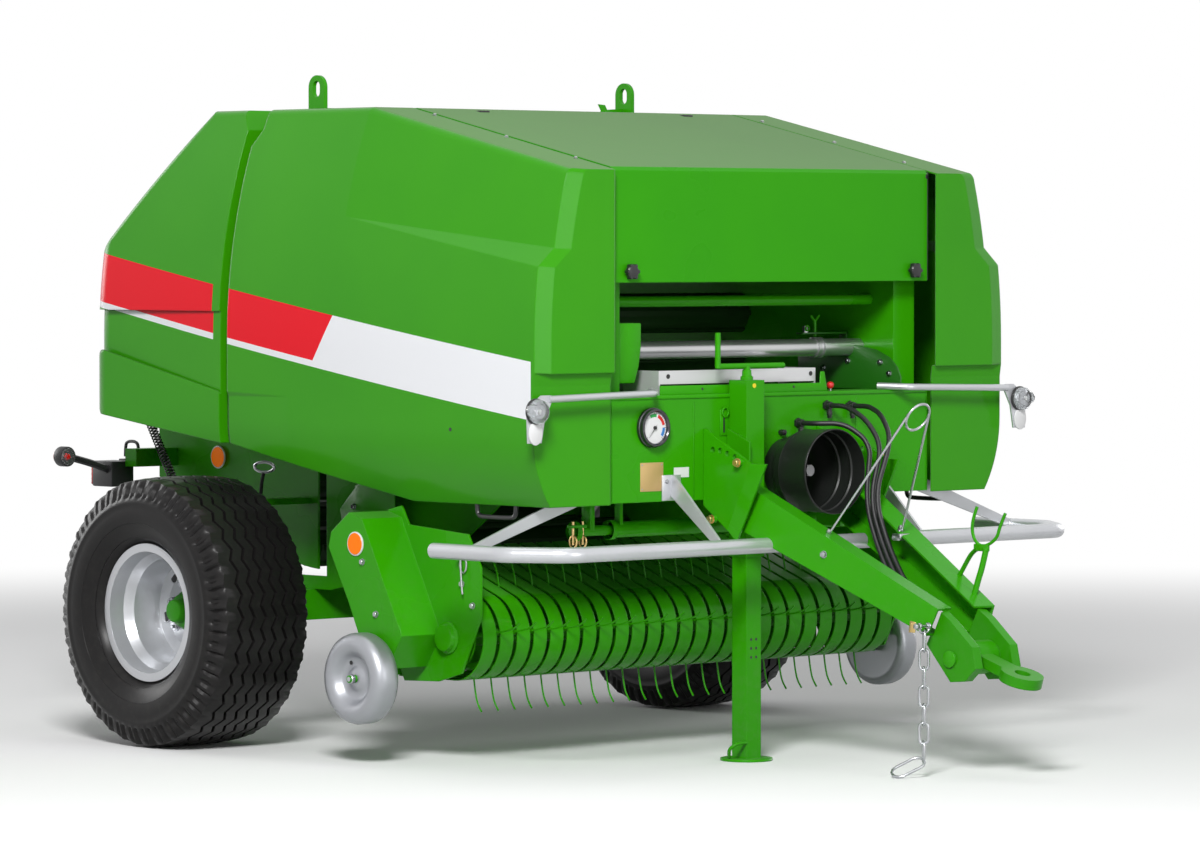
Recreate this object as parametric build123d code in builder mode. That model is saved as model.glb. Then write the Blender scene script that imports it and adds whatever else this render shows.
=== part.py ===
from build123d import *
import math
import os

os.makedirs("parts", exist_ok=True)

# Round baler, fixed chamber, drawn in millimetres.
# X runs across the machine, -Y points to the tractor, +Z is up. Left is +X.
# The origin is on the ground, midway between the tow eye's tip and the rear lamps.

# Reaches from the axle
tow_eye_reach = 2640
tow_eye_r = 66
rear_reach = 850
axle_y = (tow_eye_reach + tow_eye_r - rear_reach) / 2

# Road wheels
tyre_d = 870
tyre_w = 400
track = 2240
rim_seat_r = 200
rim_flange_r = 222
rim_half_w = 150
hub_r = 75
spindle_r = 30
run_fit = 0.05
seat_gap = 0.3
axle_z = tyre_d / 2
axle_tube = 100

# Chamber
bale_r = 600
roller_r = 70
roller_core_r = 62
roller_rib = 18
roller_skin = 6
roller_count = 20
chamber_y = axle_y - 120
chamber_z = 1285
roller_ring_r = bale_r + roller_r
wall = 8
side_wall_outer = 612
gate_wall_outer = 613
side_wall_inner = side_wall_outer - wall
gate_wall_inner = gate_wall_outer - wall

# Split between the fixed front half and the tailgate
gate_hinge_y = axle_y - 85
gate_hinge_z = 2020
gate_pin_r = 15
front_half_back = 26     # front half ends this far ahead of the hinge
gate_front_gap = 16      # tailgate starts this far behind the hinge
front_rear_y = gate_hinge_y - front_half_back
gate_front_y = gate_hinge_y + gate_front_gap
ear_r = 26
ear_clear = 6

# Roof line
roof_z = 2050
ridge_y = axle_y - 655
hood_front_y = axle_y - 1574
hood_bend_z = 1851
hood_bottom_z = 1498
roof_half_w = 694
sheet = 4
rail_top_z = 2034
rail_h = 36
rail_outer = 690

# Side covers, seen from behind: a tall shallow arc over a straight and a tuck at the foot
cover_wall = 5
cover_inner_x = 708
cover_outer_x = 1029
cover_top_x = 881
cover_arc_z = 1302
cover_tuck_z = 1050
cover_foot_x = 957
cover_foot_z = 816
cover_shoulder_r = 30
cover_front_y = axle_y - 1602
cover_corner_r = 90
cover_rise_y = axle_y - 950
cover_rear_z = 975
cover_hinge_x = 712
cover_hinge_z = 2040
cover_pin_r = 4
cover_lug_w = 12

# Tailgate covers
gate_top_end_y = axle_y + 140
gate_slope_z = 1571
gate_rear_y = axle_y + 620
gate_skirt_z = 1105
gate_foot_z = 1056
gate_corner_r = 90

# Front box beam
box_half_w = 700
box_front_y = axle_y - 1570
box_depth = 150
bracket_bolt_y = box_front_y - 52
bracket_bolt_z = 762
box_bottom_z = 820
box_top_z = 1148
box_wall = 6

# Drawbar
bracket_x = 304
bracket_t = 12
bracket_inner_x = 194
bracket_reach = 212
bracket_bottom_z = 725
bracket_top_z = 1040
beam_w = 76
beam_wall = 7
beam_rear_h = 140
beam_front_h = 92
beam_rear = (248, box_front_y - 66, 834)
eye_z = 309
eye_y = axle_y - tow_eye_reach
hitch_pin_y = eye_y + 200
hitch_pin_z = 360
beam_front = (92, hitch_pin_y + 55, 470)
eye_bore_r = 25
eye_t = 32

# Jack stand
stand_x = -153
stand_tube_w = 78
stand_y = box_front_y - stand_tube_w / 2 - seat_gap
stand_leg_w = 64
stand_tube_bottom_z = 640
stand_tube_top_z = 1192
foot_r = 82
foot_t = 8

# Pickup
reel_y = axle_y - 1090
reel_z = 395
band_r = 135
band_t = 4
band_w = 54
band_pitch = 70
band_count = 26
band_first_x = -912
tine_tip_r = 240
tine_bar_r = 92
tine_w = 6
pickup_pivot_y = axle_y - 300
pickup_pivot_z = 780
pickup_pin_r = 20
cheek_x = 930
cheek_outer_x = 1100
cheek_skin = 6
gauge_x = 1154
gauge_y = axle_y - 920
gauge_z = 270
gauge_r = 142
gauge_w = 90


def plate(points, x_low, thickness, mode=Mode.ADD):
    """Flat plate: an outline of (y, z) corners given a thickness along X."""
    with BuildSketch(Plane.YZ.offset(x_low)) as outline:
        Polygon(*points, align=None)
    return extrude(outline.sketch, amount=thickness, mode=mode)


def rod_x(y, z, radius, x_low, x_high, mode=Mode.ADD):
    """Round bar along X."""
    with BuildSketch(Plane.YZ.offset(x_low)) as disc:
        with Locations((y, z)):
            Circle(radius)
    return extrude(disc.sketch, amount=x_high - x_low, mode=mode)


def rod_y(x, z, radius, y_low, y_high, mode=Mode.ADD):
    """Round bar along Y."""
    with BuildSketch(Plane.XZ.offset(-y_high)) as disc:
        with Locations((x, z)):
            Circle(radius)
    return extrude(disc.sketch, amount=y_high - y_low, mode=mode)


def block(x_low, x_high, y_low, y_high, z_low, z_high, mode=Mode.ADD):
    """Rectangular block between two corners."""
    with BuildSketch(Plane.XY.offset(z_low)) as base:
        with Locations(((x_low + x_high) / 2, (y_low + y_high) / 2)):
            Rectangle(x_high - x_low, y_high - y_low)
    return extrude(base.sketch, amount=z_high - z_low, mode=mode)


def bar_between(start, end, radius, mode=Mode.ADD):
    """Round bar from one point to another."""
    run = Vector(*end) - Vector(*start)
    with BuildSketch(Plane(origin=start, z_dir=run)) as disc:
        Circle(radius)
    return extrude(disc.sketch, amount=run.length, mode=mode)


written = []


def keep(piece, name):
    """Label a finished piece and write it to its own file."""
    piece.part.label = name
    export_step(piece.part, f"parts/{name}.step")
    written.append(name)


# --------------------------------------------------------------- road wheels
# rim outline as (x from the tyre's middle, radius); +x is the outer side
rim_outline = [
    (-rim_half_w, rim_flange_r), (-rim_half_w, rim_seat_r - 10), (-60, rim_seat_r - 26),
    (-48, hub_r + 50), (-48, hub_r), (-90, hub_r), (-90, spindle_r + run_fit),
    (-10, spindle_r + run_fit), (-10, hub_r - 20), (-24, hub_r - 6), (-36, hub_r + 50),
    (-30, rim_seat_r - 36), (70, rim_seat_r - 30), (100, rim_seat_r - 12),
    (rim_half_w, rim_seat_r - 4), (rim_half_w, rim_flange_r),
    (rim_half_w - 8, rim_flange_r), (rim_half_w - 8, rim_seat_r), (-rim_half_w + 8, rim_seat_r),
    (-rim_half_w + 8, rim_flange_r),
]
tyre_bead_x = rim_half_w - 8 - seat_gap
bead_w = 28
carcass_half_w = tyre_w / 2 - 26
carcass_mid_r = tyre_d / 2 - 135
carcass_r = tyre_d / 2 - 45
bulge_r = tyre_d / 2 - 117
shoulder_r = tyre_d / 2 - 41
tread_half_w = tyre_w / 2 - 38
for side, side_name in ((1, "left"), (-1, "right")):
    wheel_plane = Plane(origin=(side * track / 2, axle_y, axle_z), x_dir=(side, 0, 0), z_dir=(0, -side, 0))
    with BuildPart() as rim:
        with BuildSketch(wheel_plane):
            Polygon(*rim_outline, align=None)
        revolve(axis=Axis((0, axle_y, axle_z), (1, 0, 0)))
    keep(rim, f"rim_{side_name}")
    with BuildPart() as tyre:
        with BuildSketch(wheel_plane):
            with BuildLine():
                Polyline((-tyre_bead_x, rim_flange_r + 4), (-tyre_bead_x, rim_seat_r + seat_gap),
                         (-tyre_bead_x + bead_w, rim_seat_r + seat_gap), (-tyre_bead_x + bead_w, rim_flange_r + 4),
                         (-carcass_half_w, carcass_mid_r), (-carcass_half_w, carcass_r),
                         (carcass_half_w, carcass_r), (carcass_half_w, carcass_mid_r),
                         (tyre_bead_x - bead_w, rim_flange_r + 4), (tyre_bead_x - bead_w, rim_seat_r + seat_gap),
                         (tyre_bead_x, rim_seat_r + seat_gap), (tyre_bead_x, rim_flange_r + 4))
                ThreePointArc((tyre_bead_x, rim_flange_r + 4), (tyre_w / 2, bulge_r), (tyre_w / 2 - 16, shoulder_r))
                Line((tyre_w / 2 - 16, shoulder_r), (tread_half_w, tyre_d / 2 - 9))
                ThreePointArc((tread_half_w, tyre_d / 2 - 9), (0, tyre_d / 2), (-tread_half_w, tyre_d / 2 - 9))
                Line((-tread_half_w, tyre_d / 2 - 9), (-tyre_w / 2 + 16, shoulder_r))
                ThreePointArc((-tyre_w / 2 + 16, shoulder_r), (-tyre_w / 2, bulge_r), (-tyre_bead_x, rim_flange_r + 4))
            make_face()
        revolve(axis=Axis((0, axle_y, axle_z), (1, 0, 0)))
    keep(tyre, f"tyre_{side_name}")

# --------------------------------------------------------------- axle
axle_tube_end = track / 2 - tyre_w / 2 - 70
spindle_end = track / 2 - 20
with BuildPart() as axle_beam:
    block(-axle_tube_end, axle_tube_end, axle_y - axle_tube / 2, axle_y + axle_tube / 2,
          axle_z - axle_tube / 2, axle_z + axle_tube / 2)
    rod_x(axle_y, axle_z, spindle_r, -spindle_end, spindle_end)
    rod_x(axle_y, axle_z, spindle_r + 14, -track / 2 + 100, track / 2 - 100)
keep(axle_beam, "axle_beam")

# --------------------------------------------------------------- chamber walls and rollers
rail_rear_y = front_rear_y - 8
cover_hinge_ys = (ridge_y + 90, front_rear_y - 120)
hood_pin_z = roof_z - 10
hood_pin_r = 4
hood_edge_gap = 3
roof_edge_gap = 17
hood_hinge_xs = (-450, 450)
slope = (roof_z - hood_bend_z) / (ridge_y - hood_front_y)
post_y = box_front_y + 60
post_t = 5
post_outer = box_half_w
side_wall_points = [
    (front_rear_y, rail_top_z), (ridge_y, rail_top_z),
    (box_front_y + 60, hood_bend_z - 20), (box_front_y + 60, box_top_z + seat_gap),
    (box_front_y + box_depth + seat_gap, box_top_z + seat_gap), (box_front_y + box_depth + seat_gap, box_bottom_z),
    (axle_y - 960, 790), (axle_y - 700, 610), (axle_y - 300, 520),
    (axle_y - 130, axle_z + axle_tube / 2 + seat_gap), (axle_y + 90, axle_z + axle_tube / 2 + seat_gap),
    (axle_y + 90, 530), (front_rear_y, 530),
]
with BuildPart() as side_walls:
    plate(side_wall_points, side_wall_inner, wall)
    rod_x(gate_hinge_y, gate_hinge_z, ear_r, side_wall_inner, side_wall_outer)
    plate([(front_rear_y - 20, gate_hinge_z + 14), (gate_hinge_y, gate_hinge_z + 14),
           (gate_hinge_y, gate_hinge_z - 24), (front_rear_y - 20, gate_hinge_z - 60)], side_wall_inner, wall)
    block(side_wall_outer, rail_outer, ridge_y + 20, rail_rear_y, rail_top_z - rail_h, rail_top_z)
    block(side_wall_outer - 1, post_outer, post_y, post_y + post_t, box_top_z + seat_gap, hood_bend_z - 50)
    block(post_outer - post_t, post_outer, post_y, post_y + 40, box_top_z + seat_gap, hood_bend_z - 50)
    for y in cover_hinge_ys:
        rod_y(cover_hinge_x, cover_hinge_z, cover_pin_r, y - cover_lug_w / 2, y + cover_lug_w / 2 + 9)
        with BuildSketch(Plane.XZ.offset(-(y + cover_lug_w / 2 + 9))) as hinge_arm:
            Polygon((rail_outer - 1, 2004), (rail_outer - 1, 2026), (706, 2034), (708, cover_hinge_z),
                    (716, cover_hinge_z), (718, 2034), (718, 2004), align=None)
            with Locations((cover_hinge_x, cover_hinge_z)):
                Circle(cover_pin_r + 0.6)
        extrude(hinge_arm.sketch, amount=8)
    rod_x(pickup_pivot_y, pickup_pivot_z, pickup_pin_r, side_wall_outer, side_wall_outer + 40)
    rod_x(gate_hinge_y, gate_hinge_z, gate_pin_r + run_fit, side_wall_inner - 1, side_wall_outer + 1, mode=Mode.SUBTRACT)
    mirror(about=Plane.YZ)
keep(side_walls, "side_walls")


def roller_bank(first_deg, count, inner_x):
    """Ribbed rollers round the chamber, each on its two stub shafts."""
    for turn in range(count):
        angle = math.radians(first_deg + turn * 360 / roller_count)
        y = chamber_y + roller_ring_r * math.cos(angle)
        z = chamber_z + roller_ring_r * math.sin(angle)
        with BuildSketch(Plane(origin=(-inner_x + seat_gap, y, z), x_dir=(0, 1, 0), z_dir=(1, 0, 0))) as section:
            Circle(roller_core_r)
            with PolarLocations(roller_core_r, 6):
                Rectangle(2 * (roller_r - roller_core_r), roller_rib)
            Circle(roller_core_r - roller_skin, mode=Mode.SUBTRACT)
        extrude(section.sketch, amount=2 * inner_x - 2 * seat_gap)


gate_roller_count = 10
front_roller_count = 8
half_pitch = 180 / roller_count
with BuildPart() as gate_rollers:
    roller_bank(-90 + half_pitch, gate_roller_count, gate_wall_inner)
keep(gate_rollers, "gate_rollers")
with BuildPart() as front_rollers:
    roller_bank(90 + half_pitch, front_roller_count - 1, side_wall_inner)
    roller_bank(270 - half_pitch, 1, side_wall_inner)
keep(front_rollers, "front_rollers")

with BuildPart() as cross_members:
    for x in hood_hinge_xs:
        plate([(ridge_y - 12, 2029), (ridge_y - 4, hood_pin_z), (ridge_y + 4, hood_pin_z), (ridge_y + 12, 2029)], x, 8)
        rod_x(ridge_y, hood_pin_z, hood_pin_r + 0.6, x, x + 8)
        rod_x(ridge_y, hood_pin_z, hood_pin_r, x - 11, x + 8)
    rod_x(gate_hinge_y, gate_hinge_z, gate_pin_r, -gate_wall_outer - 20, gate_wall_outer + 20)
    rod_x(axle_y - 1400, 1437, 17, -side_wall_inner + seat_gap, side_wall_inner - seat_gap)
    block(-side_wall_inner + seat_gap, side_wall_inner - seat_gap, ridge_y - 20, ridge_y + 20, 1990, 2030)
    block(-side_wall_inner + seat_gap, side_wall_inner - seat_gap, axle_y - 950, axle_y - 890, 830, 890)
    rod_x(axle_y - 1430, 730, 25, -560, 560)
    for x in (-540, 540):
        block(x - 6, x + 6, axle_y - 1450, axle_y - 1425, 735, box_bottom_z - seat_gap)
keep(cross_members, "cross_members")

# --------------------------------------------------------------- roof, hood and lifting lugs
with BuildPart() as roof_panel:
    block(-roof_half_w, roof_half_w, ridge_y + roof_edge_gap, front_rear_y, roof_z - sheet, roof_z)
    for side in (-1, 1):
        low, high = sorted((side * (roof_half_w - sheet), side * roof_half_w))
        block(low, high, ridge_y + roof_edge_gap, front_rear_y, rail_top_z + seat_gap, roof_z)
    for side in (-1, 1):
        low, high = sorted((side * 672, side * (roof_half_w + 1)))
        block(low, high, axle_y - 200, axle_y - 100, rail_top_z, roof_z + 1, mode=Mode.SUBTRACT)
keep(roof_panel, "roof_panel")

lug_x = 674
lug_t = 14
lug_y = axle_y - 153
lug_top_z = 2165
lug_hole_z = 2120
with BuildPart() as lift_lugs:
    with BuildSketch(Plane.YZ.offset(lug_x)) as lug:
        with Locations((lug_y, (rail_top_z + seat_gap + lug_hole_z) / 2)):
            Rectangle(80, lug_hole_z - rail_top_z - seat_gap)
        with Locations((lug_y, lug_hole_z)):
            SlotOverall(90, 80, rotation=90)
        with Locations((lug_y, lug_hole_z)):
            SlotOverall(52, 34, rotation=90, mode=Mode.SUBTRACT)
    extrude(lug.sketch, amount=lug_t)
    mirror(about=Plane.YZ)
keep(lift_lugs, "lift_lugs")

with BuildPart() as hood:
    with BuildSketch(Plane.YZ.offset(-roof_half_w)) as hood_outline:
        Polygon((ridge_y - hood_edge_gap, roof_z), (hood_front_y + 10, hood_bend_z + 4), (hood_front_y, hood_bend_z - 8),
                (hood_front_y, hood_bottom_z), (hood_front_y + sheet, hood_bottom_z),
                (hood_front_y + sheet, hood_bend_z - 10), (hood_front_y + 12, hood_bend_z),
                (ridge_y - hood_edge_gap, roof_z - sheet), align=None)
    extrude(hood_outline.sketch, amount=2 * roof_half_w)
    hood_flange = [(ridge_y - hood_edge_gap, roof_z - 2), (hood_front_y + 10, hood_bend_z + 2), (hood_front_y + 2, hood_bend_z - 8),
                   (hood_front_y + 2, hood_bottom_z), (hood_front_y + 30, hood_bottom_z),
                   (hood_front_y + 30, hood_bend_z - 26), (ridge_y - 30, roof_z - 24)]
    for x in (-roof_half_w, roof_half_w - sheet):
        plate(hood_flange, x, sheet)
    for x in hood_hinge_xs:
        plate([(ridge_y + 5, hood_pin_z - 5), (ridge_y + 5, hood_pin_z + 4), (ridge_y - hood_edge_gap, roof_z - 2),
               (ridge_y - 30, roof_z - 9), (ridge_y - 30, hood_pin_z - 12)], x - 9, 8)
        rod_x(ridge_y, hood_pin_z, hood_pin_r + 0.2, x - 12, x + 1, mode=Mode.SUBTRACT)
keep(hood, "hood")

# --------------------------------------------------------------- covers
cover_flange = 38
cover_flange_t = 5
foot_run = 40
crease_depth = 60
upper_ledge = ((cover_outer_x, ridge_y, 1668), (cover_outer_x, cover_front_y, 1533),
               (cover_outer_x - crease_depth, cover_front_y, 1584))
tuck_depth = 22
tuck_turn_y = axle_y - 418
front_tuck = tuck_depth * (front_rear_y - tuck_turn_y) / (gate_rear_y - tuck_turn_y)
gate_ledge = ((cover_outer_x, gate_front_y, 1144), (cover_outer_x, gate_rear_y, 1286),
              (cover_outer_x - tuck_depth, gate_rear_y, 1246))
front_ledge = ((cover_outer_x, tuck_turn_y, 1132), (cover_outer_x, front_rear_y, 1142), (cover_outer_x - front_tuck, front_rear_y, 1128))
facet_w = 58
facet_d = 14
front_step_z = 1225
front_step = 20


def front_outline(inset):
    """Side view of the front cover, or of its hollow."""
    drop = inset
    back = front_rear_y - (cover_flange_t if inset else 0)
    front = cover_front_y + facet_d + inset
    return [
        (back, cover_rear_z - drop), (back, roof_z - 120 - 2 * inset), (front_rear_y - 38 - inset, roof_z - 65 - inset),
        (front_rear_y - 41 - inset, roof_z - inset), (ridge_y - inset * slope / 2, roof_z - inset),
        (front, roof_z - slope * (ridge_y - front) - inset * math.hypot(1, slope)), (front, front_step_z),
        (front + front_step - facet_d, front_step_z - 40), (front + front_step - facet_d, cover_foot_z - drop),
        (cover_rise_y, cover_foot_z - drop),
    ]


def gate_outline(inset):
    """Side view of the tailgate cover, or of its hollow."""
    drop = inset
    front = gate_front_y + (cover_flange_t if inset else 0)
    back = gate_rear_y - inset
    fall = (roof_z - gate_slope_z) / (gate_rear_y - gate_top_end_y)
    slope_inset = inset * math.hypot(1, fall)
    return [
        (front, roof_z - 65 - inset), (gate_front_y + 40 + inset, roof_z - inset),
        (gate_top_end_y - (slope_inset - inset) / fall, roof_z - inset), (back, gate_slope_z + fall * inset - slope_inset),
        (back, gate_skirt_z - drop), (gate_rear_y - 60, gate_foot_z - drop), (front, cover_rear_z - drop),
    ]


def cover_profile(plane, inset):
    """View from behind: flat top, tall arc, straight side and a tuck running in below the foot."""
    with BuildSketch(plane) as section:
        with BuildLine():
            Line((cover_inner_x - 20, roof_z), (cover_top_x, roof_z))
            TangentArc((cover_outer_x, cover_arc_z), (cover_top_x, roof_z), tangent=(0, 1))
            Line((cover_outer_x, cover_arc_z), (cover_outer_x, cover_tuck_z))
            tuck = TangentArc((cover_outer_x, cover_tuck_z), (cover_foot_x, cover_foot_z), tangent=(0, -1))
            foot = (tuck @ 1) + (tuck % 1) * foot_run
            Polyline((cover_foot_x, cover_foot_z), foot, (cover_inner_x - 20, foot.Y), (cover_inner_x - 20, roof_z))
        make_face()
        if inset:
            offset(amount=-inset, kind=Kind.INTERSECTION, mode=Mode.REPLACE)
    return section.sketch




def crease_cutter(ledge, depth, turn_y, end_y, low_z, high_z, inset, corner_r=0):
    """What a crease takes off the skin: beyond its ledge, all outside the section run inwards at a slant."""
    first, second, third = (Vector(*corner) for corner in ledge)
    normal = (second - first).cross(third - first).normalized()
    if (normal.Z > 0) != (high_z > 2 * first.Z - low_z):
        normal = -normal
    run = end_y - turn_y
    with BuildPart() as kept_side:
        extrude(cover_profile(Plane.XZ.offset(-turn_y), inset), amount=math.hypot(run, depth), dir=(-depth, run, 0))
        if corner_r:
            block(0, cover_outer_x + 1, turn_y, end_y, low_z, high_z, mode=Mode.INTERSECT)
            end_face = kept_side.faces().filter_by(Axis.Y).sort_by(Axis.Y)[-1]
            fillet([e for e in end_face.edges() if e.center().X > cover_outer_x - 60 - depth], corner_r)
    with BuildPart() as cutter:
        block(cover_inner_x - 8, cover_outer_x + 30, min(turn_y, end_y), max(turn_y, end_y), low_z, high_z)
        split(bisect_by=Plane(origin=first - normal * inset, z_dir=normal), keep=Keep.TOP)
        add(kept_side.part, mode=Mode.SUBTRACT)
    return cutter.part


def long_shoulder(form):
    """Edges where the roof and its slope meet the side."""
    return [e for e in form.edges() if e.center().Z > hood_bend_z - 40 and e.center().X > 840 and e.length > 200
            and abs(e.center().X - cover_top_x) < 60]


def front_form(inset):
    """Front cover as a full block, or the block of its hollow."""
    upper = crease_cutter(upper_ledge, crease_depth, ridge_y - inset * slope / 2, cover_front_y, 1400, roof_z + 60, inset)
    lower = crease_cutter(front_ledge, front_tuck, tuck_turn_y, front_rear_y, 740, 1300, inset)
    side = cover_inner_x - (1 if inset else 0)
    with BuildPart() as form:
        extrude(cover_profile(Plane.XZ.offset(-(front_rear_y + 40)), inset), amount=1700)
        plate(front_outline(inset), side, cover_outer_x, mode=Mode.INTERSECT)
        add(upper, mode=Mode.SUBTRACT)
        add(lower, mode=Mode.SUBTRACT)
        fillet(long_shoulder(form), cover_shoulder_r - inset)
        front_face = form.faces().filter_by(Axis.Y).sort_by(Axis.Y)[0]
        extrude(front_face, amount=math.hypot(facet_w, facet_d, slope * facet_d), dir=(-facet_w, -facet_d, -slope * facet_d))
        block(side - 2 * facet_w, side, cover_front_y - 20, cover_front_y + 40, cover_foot_z - 40, roof_z, mode=Mode.SUBTRACT)
    return form.part


def gate_form(inset):
    """Tailgate cover as a full block, or the block of its hollow."""
    lower = crease_cutter(gate_ledge, tuck_depth, tuck_turn_y, gate_rear_y - inset, 940, 1400, inset, gate_corner_r - inset)
    back = gate_rear_y - inset
    with BuildPart() as form:
        extrude(cover_profile(Plane.XZ.offset(-back), inset), amount=back - gate_front_y + 40)
        rear_face = form.faces().filter_by(Axis.Y).sort_by(Axis.Y)[-1]
        fillet([e for e in rear_face.edges() if e.center().X > cover_top_x + 70], gate_corner_r - inset)
        plate(gate_outline(inset), cover_inner_x - (1 if inset else 0), cover_outer_x, mode=Mode.INTERSECT)
        fillet([e for e in form.edges() if e.center().X > cover_top_x - 10 and e.center().Z > gate_slope_z - 5
                and e.length > 100 and gate_front_y + 10 < e.center().Y], cover_shoulder_r - inset)
        add(lower, mode=Mode.SUBTRACT)
    return form.part


def split_mouth(y_low, y_high):
    """Opening inside the flange that stiffens a cover along the split."""
    with BuildPart() as mouth:
        extrude(cover_profile(Plane.XZ.offset(-y_high), cover_flange), amount=y_high - y_low)
        block(cover_inner_x - 20, cover_inner_x + cover_flange, y_low, y_high, cover_foot_z, roof_z - 150)
        block(cover_inner_x - 20, cover_outer_x, y_low, y_high, roof_z - 150, roof_z + 10, mode=Mode.SUBTRACT)
    return mouth.part


with BuildPart() as cover_left:
    add(front_form(0))
    add(front_form(cover_wall), mode=Mode.SUBTRACT)
    add(split_mouth(front_rear_y - cover_flange_t - 1, front_rear_y + 1), mode=Mode.SUBTRACT)
    for y in cover_hinge_ys:
        block(cover_inner_x + 1, cover_hinge_x + 10, y - cover_lug_w / 2, y + cover_lug_w / 2 - 1,
              cover_hinge_z - 7, roof_z - 1)
        rod_y(cover_hinge_x, cover_hinge_z, cover_pin_r + 0.2, y - cover_lug_w, y + cover_lug_w, mode=Mode.SUBTRACT)
keep(cover_left, "cover_left")
with BuildPart() as cover_right:
    mirror(cover_left.part, about=Plane.YZ)
keep(cover_right, "cover_right")

with BuildPart() as gate_cover_left:
    add(gate_form(0))
    add(gate_form(cover_wall), mode=Mode.SUBTRACT)
    add(split_mouth(gate_front_y - 1, gate_front_y + cover_flange_t + 1), mode=Mode.SUBTRACT)
keep(gate_cover_left, "gate_cover_left")
with BuildPart() as gate_cover_right:
    mirror(gate_cover_left.part, about=Plane.YZ)
keep(gate_cover_right, "gate_cover_right")

# --------------------------------------------------------------- tailgate frame
gate_wall_r = bale_r + 2 * roller_r - 5
gate_beam_y = axle_y + 700
gate_beam_z = 900
gate_beam = 60
with BuildPart() as gate_walls:
    with BuildSketch(Plane.YZ.offset(gate_wall_inner)) as disc:
        with Locations((chamber_y, chamber_z)):
            Circle(gate_wall_r)
        Polygon((chamber_y + 200, 700), (gate_beam_y - 60, 790), (gate_beam_y + 70, 830), (gate_beam_y + 70, 1040),
                (gate_beam_y - 10, 1080), (chamber_y + 400, 1500), align=None)
        with Locations((gate_front_y - 1000, chamber_z)):
            Rectangle(2000, 2000, mode=Mode.SUBTRACT)
        with Locations((gate_hinge_y, gate_hinge_z)):
            Circle(ear_r + ear_clear, mode=Mode.SUBTRACT)
    extrude(disc.sketch, amount=wall)
    plate([(gate_hinge_y, gate_hinge_z + ear_r), (gate_hinge_y + 60, gate_hinge_z + 12), (gate_hinge_y + 240, 1860),
           (gate_hinge_y + 120, 1840), (gate_hinge_y - 10, gate_hinge_z - 22)], gate_wall_outer - 0.5, wall + 0.5)
    rod_x(gate_hinge_y, gate_hinge_z, ear_r, gate_wall_outer - 0.5, gate_wall_outer + wall)
    rod_x(gate_hinge_y, gate_hinge_z, ear_r + ear_clear, gate_wall_inner, gate_wall_outer - 0.01, mode=Mode.SUBTRACT)
    block(gate_wall_outer - 1, gate_wall_outer - 0.01, gate_hinge_y - 40, gate_front_y, 1830, 2060, mode=Mode.SUBTRACT)
    rod_x(gate_hinge_y, gate_hinge_z, gate_pin_r + run_fit, gate_wall_inner, gate_wall_outer + 2 * wall,
          mode=Mode.SUBTRACT)
    mirror(about=Plane.YZ)
keep(gate_walls, "gate_walls")

cover_arc_rise = roof_z - cover_arc_z
cover_arc_run = cover_outer_x - cover_top_x
cover_arc_r = (cover_arc_rise ** 2 + cover_arc_run ** 2) / (2 * cover_arc_run)


def cover_reach(z):
    """How far out an arm at this height may go to seat inside a cover."""
    above = max(0, z - cover_arc_z)
    lean = cover_arc_r - math.sqrt(cover_arc_r ** 2 - above ** 2)
    return cover_outer_x - lean - cover_wall * cover_arc_r / math.sqrt(cover_arc_r ** 2 - above ** 2) - seat_gap


with BuildPart() as gate_frame:
    block(-gate_wall_inner + seat_gap, gate_wall_inner - seat_gap, gate_beam_y - gate_beam / 2,
          gate_beam_y + gate_beam / 2, gate_beam_z - gate_beam / 2, gate_beam_z + gate_beam / 2)
    for side in (-1, 1):
        low, high = sorted((side * (gate_wall_outer + seat_gap), side * (cover_reach(1320) - 12.1)))
        block(low, high, axle_y + 130, axle_y + 160, 1290, 1320)
        low, high = sorted((side * (gate_wall_outer + seat_gap), side * cover_reach(1820)))
        block(low, high, axle_y + 130, axle_y + 160, 1790, 1820)
        low, high = sorted((side * (gate_wall_outer + seat_gap), side * 790))
        block(low, high, gate_beam_y - gate_beam / 2, gate_beam_y + gate_beam / 2,
              gate_beam_z - gate_beam / 2, gate_beam_z + gate_beam / 2)
keep(gate_frame, "gate_frame")

with BuildPart() as rear_lamps:
    block(750, 850, gate_beam_y + gate_beam / 2 + seat_gap, axle_y + rear_reach, 800, 890)
    rod_y(1050, 910, 34, gate_beam_y - 10, gate_beam_y + 52)
    bar_between((800, gate_beam_y + 60, 850), (1040, gate_beam_y + 20, 905), 14)
    mirror(about=Plane.YZ)
keep(rear_lamps, "rear_lamps")

# --------------------------------------------------------------- front box, drawbar and stand
pto_x, pto_z = 58, 905
with BuildPart() as front_box:
    block(-box_half_w, box_half_w, box_front_y, box_front_y + box_depth, box_bottom_z, box_top_z)
    block(-box_half_w + box_wall, box_half_w - box_wall, box_front_y + box_wall, box_front_y + box_depth + 1,
          box_bottom_z + box_wall, box_top_z - box_wall, mode=Mode.SUBTRACT)
    rod_y(pto_x, pto_z, 60, box_front_y - 1, box_front_y + box_wall + 1, mode=Mode.SUBTRACT)
keep(front_box, "front_box")

with BuildPart() as gearbox:
    block(-110, 110, box_front_y + box_wall + seat_gap, box_front_y + box_depth - 5, box_bottom_z + 10, 1060)
    rod_y(pto_x, pto_z, 25.05, box_front_y - 1, box_front_y + box_depth, mode=Mode.SUBTRACT)
keep(gearbox, "gearbox")

with BuildPart() as pto_shaft:
    rod_y(pto_x, pto_z, 25, box_front_y - 20, box_front_y + box_depth - 10)
    rod_y(pto_x, pto_z, 17.5, box_front_y - 110, box_front_y - 19)
keep(pto_shaft, "pto_shaft")

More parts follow.
